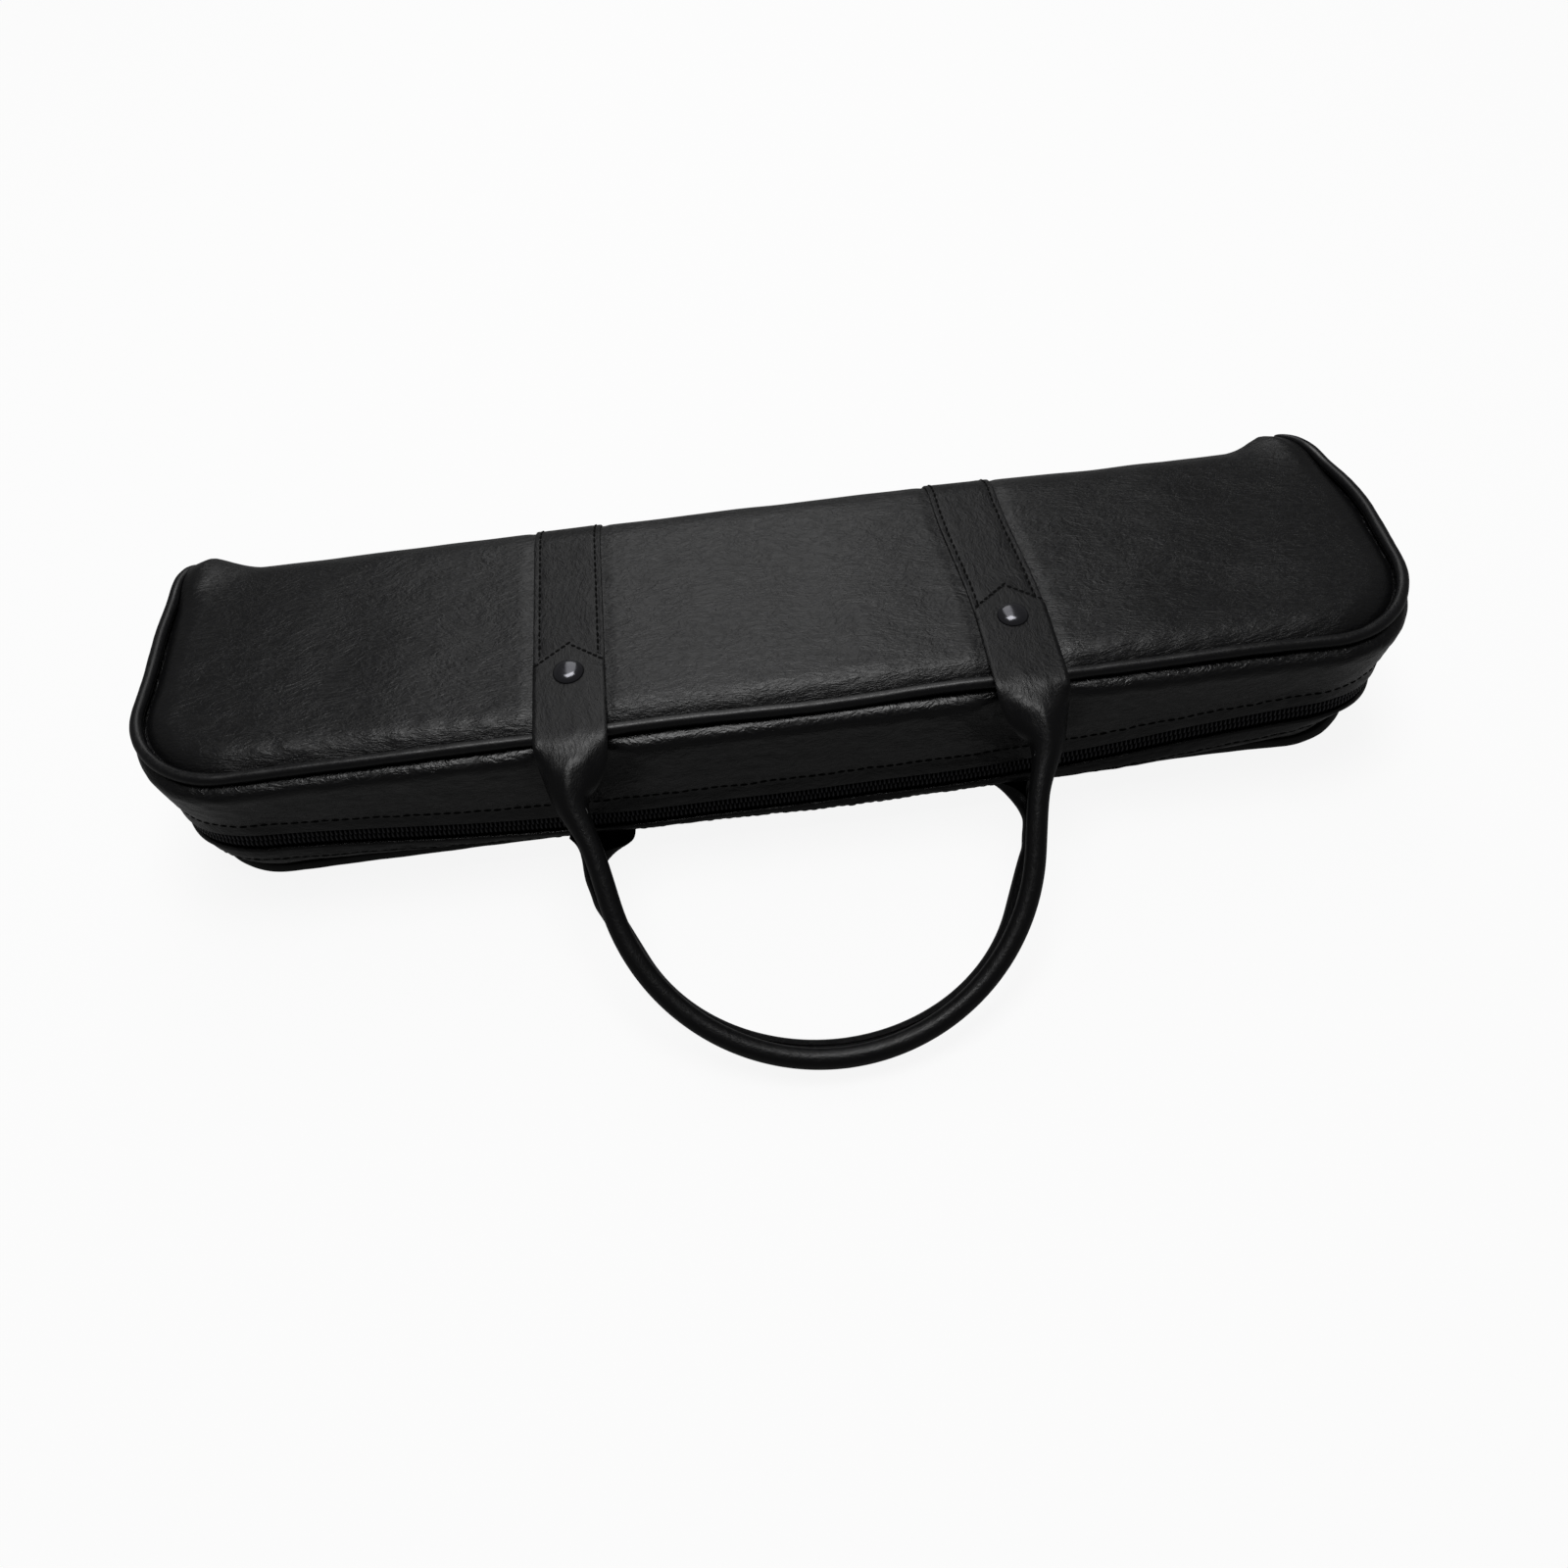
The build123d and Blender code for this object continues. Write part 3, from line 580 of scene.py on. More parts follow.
def add_zip_row(prefix, side, body, tape_node, coil_node):
    """Tape and coil of one side, both on the zip line. The coil ends at the frame's own coil, and
    both tapes run on to where the base's coil ends."""
    s = np.linspace(-1, 1, 500) * (end_start + row_ends[-1] - corner_y)
    z, outset = zip_line(s)
    reach = np.array([0.4, 3.5, 7.0, 10.0])[:, None]
    near, far = outset - 2.0 * coil_face, outset - 2.0 * coil_face - 0.8
    lean = ramp(reach, 3.5, 10) * (outset - zip_rest)
    face, inside = near - lean, far - lean
    heights = z + side * reach
    tape = round_case(np.repeat(s[None], 8, 0), np.concatenate([face, inside[::-1]]),
                      np.concatenate([heights, heights[::-1]]))
    piece = add_piece(prefix + "_zip_tape", tape, tape_weave)
    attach(piece, body)
    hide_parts(tape_node)

    s_end = end_start + row_ends[side] - corner_y
    s = np.arange(0.5 * (side > 0), (s_end - 0.8) / tooth_pitch - 0.5) * tooth_pitch
    s = np.concatenate([-s[::-1], s[s > 0]])
    z, outset = zip_line(s)
    centres = round_case(s, outset - coil_face, z + side * (tooth_reach - 0.3))
    along = np.tile((0.0, 0.0, 1.0), (len(s), 1))
    up = round_case(s, outset, z) - round_case(s, outset - 1, z)
    piece = add_beads(prefix + "_zip_coil", centres, along, up, (tooth_reach, 0.56, coil_face),
                      coil_wire)
    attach(piece, body)
    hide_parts(coil_node)


tape_weave = woven_tape("zip_tape_weave")
coil_wire = coil_nylon("coil_nylon")
add_zip_row("lid", 1, "lid", "upper_zip_tape", "upper_zip_coil")
add_zip_row("base", -1, "base", "lower_zip_tape", "lower_zip_coil")

# ---- Zip stops ----
# A crimped strip of black metal closes each end of both rows of the coil, so that the slider can't
# run off and the rows can't part.
def black_metal(name, roughness, colour="#2c2c2e"):
    """Black-lacquered zinc: dark metal under a smooth film, with the faint unevenness of a casting in
    its gloss."""
    material, tree = new_material(name)
    place = node(tree, "ShaderNodeTexCoord").outputs["Object"]
    uneven = node(tree, "ShaderNodeTexNoise", {"Scale": 1000 / 1.8, "Detail": 3.0}, {"Vector": place})
    gloss = node(tree, "ShaderNodeMapRange", {"To Min": roughness - 0.05, "To Max": roughness + 0.1},
                 {"Value": uneven.outputs["Fac"]})
    bump = node(tree, "ShaderNodeBump", {"Strength": 0.15, "Distance": 0.05 * MM},
                {"Height": uneven.outputs["Fac"]})
    metal = node(tree, "ShaderNodeBsdfPrincipled", {"Base Color": rgb(colour), "Metallic": 0.85,
                                                    "Coat Weight": 0.3, "Coat Roughness": 0.15},
                 {"Roughness": gloss.outputs[0], "Normal": bump.outputs[0]})
    node(tree, "ShaderNodeOutputMaterial", {}, {"Surface": metal.outputs[0]})
    return material


def rounded(count, power=0.45):
    """Unit square with soft corners, as across and up values round a loop: the cosine and sine of an
    angle, each raised to a power below one."""
    angle = (np.arange(count) + 0.5) * math.tau / count
    return [np.sign(f) * abs(f) ** power for f in (np.cos(angle), np.sin(angle))]


def bar(low, high, power=0.45, count=16):
    """Short bar with soft edges between two corners, its length along y."""
    across, up = rounded(count, power)
    low, high = np.array(low, float), np.array(high, float)
    middle, half = (low + high) / 2, (high - low) / 2
    steps = np.array([-1, -1, -0.86, 0.86, 1, 1])
    shrink = np.array([0.0, 0.8, 1, 1, 0.8, 0.0])
    return np.stack(np.broadcast_arrays(
        middle[0] + half[0] * across[:, None] * shrink, middle[1] + half[1] * steps,
        middle[2] + half[2] * up[:, None] * shrink), -1)


zip_metal = black_metal("lacquered_zinc", 0.3)
for prefix, stops_node, body in (("lid", "upper_zip_stops", "lid"), ("base", "lower_zip_stops", "base")):
    (low_x, low_y, low_z), (high_x, high_y, high_z) = [np.array(c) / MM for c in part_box(stops_node)]
    stop_x = half_length + zip_rest - 2 * coil_face - 0.3
    grids = [bar((stop_x, low_y, low_z), (high_x + 0.2, high_y, high_z)),
             bar((-high_x - 0.2, low_y, low_z), (-stop_x, high_y, high_z))]
    stops = add_piece(prefix + "_zip_ends", grids, zip_metal, capped=False)
    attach(stops, body)
    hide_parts(stops_node)

# ---- Slider ----
# Cast zinc slider with two plates, side flanges and the post that parts the rows, a bridge on its
# face, and a pull tab whose window hangs on the bridge.
body_low, body_high = [np.array(c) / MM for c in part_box("zip_slider")]
pull_low, pull_high = [np.array(c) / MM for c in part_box("slider_pull")]
plate_thickness = 1.2
bridge_rise = 2.9
face_x = body_high[0] - bridge_rise
slider_middle = (body_low[1] + body_high[1]) / 2
slider_half = (body_high[1] - body_low[1]) / 2
flange = 0.8


def shield_plate(low_x, high_x, dome):
    """Slider plate: an outline that is square at its mouth and narrows to the closed end, in layers
    from its back to a slightly domed face."""
    across, along = rounded(40, 0.5)
    half_z = (body_high[2] - body_low[2]) / 2 * (1 - 0.16 * ramp(-along, 0.1, 1))
    scale = np.array([0, 0.93, 1, 1, 0.93, 0.55, 0])
    depth = np.array([low_x, low_x, low_x + 0.2, high_x - 0.35, high_x, high_x + 0.6 * dome,
                      high_x + dome])
    return np.stack(np.broadcast_arrays(
        depth, slider_middle + slider_half * along[:, None] * scale,
        hinge_z + (half_z * across)[:, None] * scale), -1)


def bridge_arch():
    """Flat bar bent into an arch that stands on the face of the slider."""
    across, up = rounded(12)
    bend = np.linspace(0, math.pi, 15)
    reach_y, reach_x = np.cos(bend), np.abs(np.sin(bend)) ** 0.55
    half_y, bar_half = 2.05, 0.45
    tangent = np.gradient(np.stack([half_y * reach_y, (bridge_rise - bar_half) * reach_x]), axis=1)
    tangent /= np.linalg.norm(tangent, axis=0)
    y = slider_middle + half_y * reach_y + bar_half * across[:, None] * tangent[1]
    x = face_x + (bridge_rise - bar_half) * reach_x - bar_half * across[:, None] * tangent[0]
    return np.stack(np.broadcast_arrays(x, y, hinge_z + 0.9 * up[:, None]), -1)


def pull_ring():
    """Pull tab as a ring with a flat section: its outline is a long rounded bar that widens towards
    the free end, its hole a small window at the other."""
    angle = np.linspace(0, math.tau, 61)
    hole_y = pull_high[1] - 0.6 - plate_thickness / 2 - 1.7
    hole = np.stack([hole_y + 1.75 * np.sign(np.cos(angle)) * abs(np.cos(angle)) ** 0.5,
                     1.7 * np.sign(np.sin(angle)) * abs(np.sin(angle)) ** 0.5])
    far = np.cos(angle)
    length = np.where(far > 0, pull_high[1] - hole_y, hole_y - pull_low[1])
    width = 2.9 + 0.6 * ramp(-far, -0.2, 0.9)
    outline = np.stack([hole_y + length * np.sign(far) * abs(far) ** 0.42,
                        width * np.sign(np.sin(angle)) * abs(np.sin(angle)) ** 0.42])
    share = np.array([0, 0, 0.08, 0.92, 1, 1, 0.92, 0.08])[:, None, None]
    half = np.array([-0.35, 0.35, 0.6, 0.6, 0.35, -0.35, -0.6, -0.6])[:, None]
    place = hole + (outline - hole) * share
    middle_x = (pull_low[0] + pull_high[0]) / 2
    return np.stack(np.broadcast_arrays(middle_x + half, place[:, 0], hinge_z + place[:, 1]), -1)


slider_grids = [
    shield_plate(face_x - plate_thickness, face_x, 0.25),
    shield_plate(body_low[0], body_low[0] + plate_thickness, 0.0),
    bar((body_low[0] + 0.6, body_high[1] - slider_half * 0.7, hinge_z - 0.3),
        (face_x - 0.6, body_high[1] - 0.3, hinge_z + 0.3))]
for low_z in (body_low[2], body_high[2] - flange):
    slider_grids.append(bar((half_length + zip_rest - 1.7, body_low[1] + 0.2, low_z),
                            (face_x - 0.5, body_high[1] - 0.2, low_z + flange)))
slider_piece = add_piece("slider_casting", slider_grids + [bridge_arch()], zip_metal,
                         capped=False)
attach(slider_piece, "slider")
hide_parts("zip_slider")
pull_piece = add_piece("pull_tab", pull_ring(), zip_metal, capped=False)
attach(pull_piece, "pull")
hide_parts("slider_pull")

# ---- Straps ----
# Two flat straps of folded leatherette go right round the case, sewn down along both edges. Near the
# front they end under the pointed tabs of the handles.
strap_half = 11.4
strap_thickness = 0.8
stitch_inset = 2.0
tab_point = {"left": -15.2, "right": -12.7}
strap_front = corner_y + 6 - wrap_y - corner_radius


def add_strap(side):
    """Soft-edged flat section carried round the case on the cover, thinner along the two seams."""
    v = np.linspace(strap_front, round_back + wrap_y - front_y - 8, 320)
    across, up = rounded(36, 0.3)
    seam = 0.22 * np.exp(-((abs(across) * strap_half - strap_half + stitch_inset) / 0.8) ** 2)
    lift = (0.5 + 0.5 * up - seam * (up > 0))[:, None] * strap_thickness
    crumple = 0.05 * ripples(across[:, None] * strap_half, v, 6, 21)
    x = strap_middle(side, v) + strap_half * across[:, None]
    strap = add_piece("strap_" + side, on_cover(x, v + 0 * x, lift + crumple * (lift > 0.4)),
                      strap_grain)
    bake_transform(strap)
    folds = ["strap_folds"] if side == "left" else []
    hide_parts(f"upper_strap_{side}", f"lower_strap_{side}", *folds)

    v = np.arange(tab_point[side] - 7 - wrap_y, round_back + wrap_y - front_y - 36, 3.0)
    sides = np.repeat([-1, 1], len(v))
    v = np.tile(v, 2)
    x = strap_middle(side, v) + sides * (strap_half - stitch_inset)
    centres = on_cover(x, v, strap_thickness)
    along = on_cover(x, v + 0.5, strap_thickness) - centres
    up = on_cover(x, v, strap_thickness + 1) - centres
    stitches = add_beads(f"strap_{side}_stitches", centres, along, up, (1.15, 0.38, 0.28), sewing_thread)
    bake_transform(stitches)


strap_grain = leatherette("strap_leatherette", "#0c0c0d", 0.38, 1.5, 2.0, 0.06, 0.23)
for side in strap_places:
    add_strap(side)

# ---- Handles ----
# Each handle is one strip of leatherette: a pointed tab riveted over the strap at either end, curled
# under itself past the edge of the case into a round tube with a rope core, its seam underneath.
strap_centre = sum(strap_places.values()) / 2
half_spacing = (strap_places["right"] - strap_places["left"]) / 2
tube_radius = 3.2
tab_thickness = 0.9
tab_half = 11.4
tube_half = math.pi * (tube_radius - tab_thickness / 2)
roll_start = 17.0
joint_places = {j["name"]: [c / MM for c in j["pos_m"]] for j in frame["joints"] if j["type"] == "hinge"}


def loop_route(reach, loop_radius, tip):
    """The handle's line in its own plane, across and outwards from the bending line: a leg from the
    tab's point, a leg that leans in, and half of the round loop, then the same mirrored. Corners are
    softened by averaging along the line."""
    centre = reach - loop_radius
    turn = math.atan2(roll_start - centre, half_spacing) + math.acos(
        loop_radius / math.hypot(half_spacing, centre - roll_start))
    arc = np.linspace(math.pi - turn, math.pi / 2, 60)
    across = np.concatenate([[-half_spacing, -half_spacing], loop_radius * np.cos(arc)])
    out = np.concatenate([[tip, roll_start], centre + loop_radius * np.sin(arc)])
    length = np.append(0, np.hypot(np.diff(across), np.diff(out)).cumsum())
    fine = np.linspace(0, length[-1], 1200)
    across, out = np.interp(fine, length, across), np.interp(fine, length, out)
    kernel = np.hanning(61) / np.hanning(61).sum()
    across, out = [np.convolve(np.pad(line, 30, mode="reflect", reflect_type="odd"), kernel, "valid")
                   for line in (across, out)]
    across[-1], out[-1] = 0, reach
    pick = np.unique(np.concatenate([np.linspace(0, 1199, 150), np.linspace(0, 330, 60)]).astype(int))
    across, out = across[pick], out[pick]
    return np.concatenate([across, -across[-2::-1]]), np.concatenate([out, out[-2::-1]])


def curled_strip(across, out, flat_z, slope, plane_z, bend_y, seam, curl_span, early_curl):
    """The strip as a loop of rows. Its width is wrapped round a circle whose radius shrinks from flat
    to the tube's, so that the edges turn towards the seam and meet, 1 underneath and -1 on top. The
    right side curls sooner by early_curl. The point of each tab is a shift along the line that grows
    with the distance from its middle."""
    bent = 2.0 * np.logaddexp(0, out / 2.0)
    level_share = 1 - ramp(out, -8, 12)
    y = bend_y - (out - (1 - math.cos(slope)) * bent)
    z = plane_z - math.sin(slope) * bent - (plane_z - flat_z) * level_share
    earlier = early_curl * (across > 0)
    curl = ramp(out + earlier, *curl_span)
    angle = np.maximum(curl * math.pi * 0.985, 1e-3)
    half = tab_half + (tube_half - tab_half) * curl
    tilt = slope / (1 + np.exp(-out / 2.0))
    step = np.stack([np.gradient(across), np.gradient(out)])
    step /= np.linalg.norm(step, axis=0)
    w = np.linspace(-1, 1, 25)[:, None]
    w = np.sin(w * math.pi / 2) * 0.35 + w * 0.65
    radius = half / angle
    wrinkle = 0.22 * np.exp(-((out - 8) / 12) ** 2) * ripples(w * 12, out, 9, 31)
    crest = 0.5 * np.exp(-(w / 0.16) ** 2) * np.exp(-((out - 14) / 9) ** 2)
    pressed = wrinkle + crest if seam > 0 else 0.0
    ridge = (tube_radius - tab_thickness / 2) * ramp(out, curl_span[0], min(curl_span[1], roll_start))
    place = np.arange(len(out))
    tab_share = 1 - ramp(np.minimum(place, place[::-1]), 0, 32)
    shifted = 9.0 * abs(w) * tab_share * np.where(place < len(out) // 2, 1, -1)
    faces = []
    for offset in (tab_thickness / 2, -tab_thickness / 2):
        reach_out = radius + offset
        pinch = 0.35 * tab_thickness * (abs(w) > 0.99) * np.sign(offset)
        lateral = reach_out * np.sin(w * angle)
        depth = seam * (radius - reach_out * np.cos(w * angle) + pinch - pressed - ridge)
        x = strap_centre + across + lateral * step[1] + shifted * step[0]
        outwards = shifted * step[1] - lateral * step[0]
        faces.append(np.stack([x, y - outwards * np.cos(tilt) + depth * np.sin(tilt),
                               z - outwards * np.sin(tilt) - depth * np.cos(tilt)], -1))
    strip = np.concatenate([faces[0], faces[1][::-1]])
    strip[..., 2] = np.maximum(strip[..., 2], 0.1)
    return strip


def add_handle(name, node_name, loop_radius, flat_z, bend, tip, seam, curl_span, spread,
               spread_at, early_curl=0.0):
    """One handle from its tabs to the middle of its loop, which the frame places. Where its tubes
    start, they stand apart by a little more than the tabs, by spread at each side, at spread_at."""
    low_corner = np.array(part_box(node_name)[0]) / MM
    apex_y, apex_z = low_corner[1:] + tube_radius
    bend_y, bend_z = bend
    drop = bend_z - apex_z if seam > 0 else 0.0
    slope = math.atan2(drop, bend_y - apex_y)
    across, out = loop_route(math.hypot(bend_y - apex_y, drop), loop_radius, tip)
    plane_z = bend_z if seam > 0 else apex_z
    across = across * (1 + spread / half_spacing * np.exp(-((out - spread_at) / 10) ** 2))
    strip = curled_strip(across, out, flat_z, slope, plane_z, bend_y, seam, curl_span, early_curl)
    piece = add_piece(name, strip, handle_grain)
    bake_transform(piece)
    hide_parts(node_name)


handle_grain = leatherette("handle_leatherette", "#0b0b0c", 0.33, 1.2, 2.0, 0.03, 0.24)
upper_bend, lower_bend = [joint_places[name + "_handle_swing"][1:] for name in ("upper", "lower")]
tab_top = top_z + 0.95
tab_under = 0.85
add_handle("upper_handle_strip", "upper_handle_cover", 65.5, tab_top, upper_bend,
           upper_bend[0] - tab_point["left"], 1, (-2, 36), 2.3, 21.0)
add_handle("lower_handle_strip", "lower_handle_cover", 66.0, tab_under,
           lower_bend, lower_bend[0] + 14, -1, (-13, 5), 3.5, 3.0, 6.0)


def tab_stitches_and_edge_shade(middle_x, point, face_z):
    """Centres and directions of the stitches that follow the pointed end of a tab, 1.5 mm inside it.
    They are wide and close, so that the black row is also painted shade along the tab's edge.
    """
    across = np.arange(-10.2, 10.3, 1.7)
    slant = 9.0 / tab_half
    centres = np.stack([middle_x + across, point - 1.5 - slant * abs(across), face_z + 0 * across], -1)
    return centres, np.stack([1 + 0 * across, -slant * np.sign(across), 0 * across], -1)


for name, face_z, points, body in (
        ("lid_tab_stitches", tab_top + tab_thickness / 2, tab_point.values(), "lid"),
        ("base_tab_stitches", tab_under - tab_thickness / 2, (-14.0, -14.0), "base")):
    rows_of = [tab_stitches_and_edge_shade(x, point, face_z) for x, point in zip(strap_places.values(), points)]
    centres, along = [np.concatenate(parts) for parts in zip(*rows_of)]
    up = np.tile((0.0, 0.0, 1.0), (len(centres), 1))
    # Partly painted shade: the black stitches are wide and close enough to draw the shade along the tab's
    # folded edge as one dark line.
    piece = add_beads(name, centres, along, up, (0.95, 0.55, 0.28), sewing_thread)
    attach(piece, body)

# ---- Rivets ----
# A rivet clenches each tab over its strap. The cap on the lid is a turned dome of polished gunmetal,
# and its shank and the flat rivet under the base come from the frame.


def turned(centre_x, centre_y, base_z, radius, height, sides=48):
    """A cap turned round an upright axis: flat underneath, then a soft dome. Rows go round the axis
    and columns along the profile."""
    share = np.array([0, 0.96, 1, 0.99, 0.96, 0.9, 0.82, 0.72, 0.6, 0.48, 0.34, 0.18, 0])
    rise = np.array([0, 0, 0.05, 0.15, 0.28, 0.44, 0.59, 0.72, 0.83, 0.9, 0.95, 0.99, 1])
    turn = np.arange(sides)[:, None] * math.tau / sides
    return np.stack(np.broadcast_arrays(centre_x + radius * share * np.cos(turn),
                                        centre_y + radius * share * np.sin(turn), base_z + height * rise), -1)


cap_low, cap_high = [np.array(c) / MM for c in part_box("upper_rivet_caps")]
cap_radius = (cap_high[1] - cap_low[1]) / 2
cap_middle = (cap_low[1] + cap_high[1]) / 2
rivet_metal = black_metal("polished_gunmetal", 0.16, "#404044")
cap_grids = [turned(cap_x, cap_middle + shift, cap_low[2], cap_radius, cap_high[2] - cap_low[2])
             for cap_x, shift in ((cap_low[0] + cap_radius, 0.8), (cap_high[0] - cap_radius, 1.8))]
caps = add_piece("lid_rivet_caps", cap_grids, rivet_metal, capped=False)
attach(caps, "lid")
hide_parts("upper_rivet_caps")


def dress(node_name, material):
    """Gives a frame node its finish and leaves its shape as it is."""
    for material_slot in frame["nodes"][node_name].material_slots:
        material_slot.material = material


dress("upper_rivet_studs", rivet_metal)
dress("lower_rivets", rivet_metal)

# ---- Rope cores ----
# Three-strand cotton rope runs inside each rolled handle.


def cotton_rope(name):
    """Twisted cotton cord, dyed black: three strands as slanting bands, and fibres along them."""
    material, tree = new_material(name)
    place = node(tree, "ShaderNodeTexCoord").outputs["Object"]
    strands = node(tree, "ShaderNodeTexWave", {"Scale": 1000 / 3.2 / math.tau, "Distortion": 1.2,
                                               "bands_direction": "DIAGONAL"}, {"Vector": place})
    fibres = node(tree, "ShaderNodeTexNoise", {"Scale": 1000 / 0.4, "Detail": 3.0}, {"Vector": place})
    both = node(tree, "ShaderNodeMath", {"operation": "MULTIPLY_ADD", 1: 0.3},
                {0: fibres.outputs["Fac"], 2: strands.outputs["Fac"]})
    tone = node(tree, "ShaderNodeMix", {"data_type": "RGBA", 6: rgb("#0c0c0c"), 7: rgb("#1c1c1d")},
                {0: both.outputs[0]})
    bump = node(tree, "ShaderNodeBump", {"Strength": 0.8, "Distance": 0.4 * MM}, {"Height": both.outputs[0]})
    cotton = node(tree, "ShaderNodeBsdfPrincipled", {"Roughness": 0.9, "Sheen Weight": 0.3},
                  {"Base Color": tone.outputs[2], "Normal": bump.outputs[0]})
    node(tree, "ShaderNodeOutputMaterial", {}, {"Surface": cotton.outputs[0]})
    return material


rope = cotton_rope("cotton_rope")
dress("upper_handle_core", rope)
dress("lower_handle_core", rope)

# ---- Shells ----
# Two moulded shells of black board carry the lid and the base. Their rims meet inside the zip.


def pressed_board(name):
    """Hot-pressed fibre board, black: matt, with a fine felt grain and soft cloudy gloss."""
    material, tree = new_material(name)
    place = node(tree, "ShaderNodeTexCoord").outputs["Object"]
    felt = node(tree, "ShaderNodeTexNoise", {"Scale": 1000 / 0.7, "Detail": 4.0, "Roughness": 0.7},
                {"Vector": place})
    cloud = node(tree, "ShaderNodeTexNoise", {"Scale": 1000 / 14, "Detail": 2.0}, {"Vector": place})
    gloss = node(tree, "ShaderNodeMapRange", {"To Min": 0.55, "To Max": 0.75},
                 {"Value": cloud.outputs["Fac"]})
    tone = node(tree, "ShaderNodeMix", {"data_type": "RGBA", 6: rgb("#19191a"), 7: rgb("#2a2a2c")},
                {0: felt.outputs["Fac"]})
    bump = node(tree, "ShaderNodeBump", {"Strength": 0.4, "Distance": 0.1 * MM},
                {"Height": felt.outputs["Fac"]})
    board = node(tree, "ShaderNodeBsdfPrincipled", {},
                 {"Base Color": tone.outputs[2], "Roughness": gloss.outputs[0], "Normal": bump.outputs[0]})
    node(tree, "ShaderNodeOutputMaterial", {}, {"Surface": board.outputs[0]})
    return material


board = pressed_board("pressed_board")
dress("lid_shell", board)
dress("base_shell", board)

# ---- Foam ----
# Sheets of charcoal foam lie between leatherette and shells, one in the lid and one in the base, and a
# strip of it on each side of the zip fills the band out.
foam_inset = half_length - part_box("upper_pad")[1].x / MM


def foam_cells(name):
    """Cut polyurethane foam, charcoal grey: small open cells as pits about 0.8 mm apart, painted darker where
    they sink as painted shade, with a slow cloudy change of tone.
    """
    material, tree = new_material(name)
    place = node(tree, "ShaderNodeTexCoord").outputs["Object"]
    cells = node(tree, "ShaderNodeTexVoronoi", {"Scale": 1000 / 0.8}, {"Vector": place})
    cloud = node(tree, "ShaderNodeTexNoise", {"Scale": 1000 / 9, "Detail": 2.0}, {"Vector": place})
    pit = node(tree, "ShaderNodeMath", {"operation": "MULTIPLY_ADD", 1: 0.35},
               {0: cloud.outputs["Fac"], 2: cells.outputs["Distance"]})
    # Painted shade: the tone is darker where the cells sink, and a slow cloud varies it.
    tone = node(tree, "ShaderNodeMix", {"data_type": "RGBA", 6: rgb("#2c2c2e"), 7: rgb("#4c4c4f")},
                {0: pit.outputs[0]})
    bump = node(tree, "ShaderNodeBump", {"Strength": 0.6, "Distance": 0.3 * MM}, {"Height": pit.outputs[0]})
    foam = node(tree, "ShaderNodeBsdfPrincipled", {"Roughness": 0.95, "Sheen Weight": 0.15},
                {"Base Color": tone.outputs[2], "Normal": bump.outputs[0]})
    node(tree, "ShaderNodeOutputMaterial", {}, {"Surface": foam.outputs[0]})
    return material


def add_foam_sheet(name, node_name, body, v_low, v_high):
    """A sheet against the inner face of the cover, pressed thinner where the cover is pulled in."""
    reach = corner_radius - foam_inset
    curved = reach * (1 - np.cos(np.linspace(0, math.pi / 2, 12)))
    front = v_low + curved if v_low < 0 else v_high - curved
    v = np.unique(np.concatenate([front, np.linspace(v_low, v_high, 60)]))[:, None]
    y, z, normal_y, normal_z = wrap_section(v)
    half = corner_x + np.sqrt(np.maximum(reach ** 2 - np.maximum(corner_y - y, 0) ** 2, 0))
    x = half * np.linspace(-1, 1, 90)
    faces = []
    for sink in (2.05 - np.minimum(cover_relief(x, v), 0) * 0.9, 5.0 + 0 * x):
        sunk_y, sunk_z = y - normal_y * sink, z - normal_z * sink
        faces.append(np.stack(np.broadcast_arrays(drawn_in(x, sunk_y, sunk_z), sunk_y, sunk_z), -1))
    piece = add_piece(name, np.concatenate([faces[0], faces[1][::-1]]), grey_foam)
    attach(piece, body)
    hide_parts(node_name)


def add_foam_strip(name, node_name, body):
    """A strip behind the gusset, round in section at its edges and lower where the back rounds down."""
    low, high = [np.array(c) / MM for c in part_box(node_name)]
    s_end = end_start + high[1] - corner_y
    s = np.linspace(-s_end, s_end, 260)
    y = np.minimum(abs(s) - end_start, high[1] - corner_y) + corner_y
    back = np.sqrt(np.maximum(14.3 ** 2 - np.maximum(y - wrap_y, 0) ** 2, 1))
    z_low = np.where(low[2] < hinge_z - 5, np.maximum(low[2], wrap_radius - back), low[2])
    z_high = np.where(high[2] > hinge_z + 5, np.minimum(high[2], top_z - wrap_radius + back), high[2])
    across, up = rounded(24, 0.5)
    outer = high[0] - half_length
    inner = 0.2 - foam_inset
    outset = (outer + inner) / 2 + (outer - inner) / 2 * across[:, None] + 0 * s
    height = (z_low + z_high) / 2 + (z_high - z_low) / 2 * up[:, None]
    piece = add_piece(name, round_case(np.repeat(s[None], 24, 0), outset, height), grey_foam)
    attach(piece, body)
    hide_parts(node_name)


grey_foam = foam_cells("grey_foam")
add_foam_sheet("lid_foam", "upper_pad", "lid", -(wrap_y - front_y - foam_inset), hinge_v - 1.0)
add_foam_sheet("base_foam", "lower_pad", "base", hinge_v + 1.0, round_back + wrap_y - front_y - foam_inset)
add_foam_strip("lid_foam_strip", "upper_side_pad", "lid")
add_foam_strip("base_foam_strip", "lower_side_pad", "base")

# ---- Lid lining ----
# Short black plush, glued into the lid shell as one pressed pan with soft inner corners.


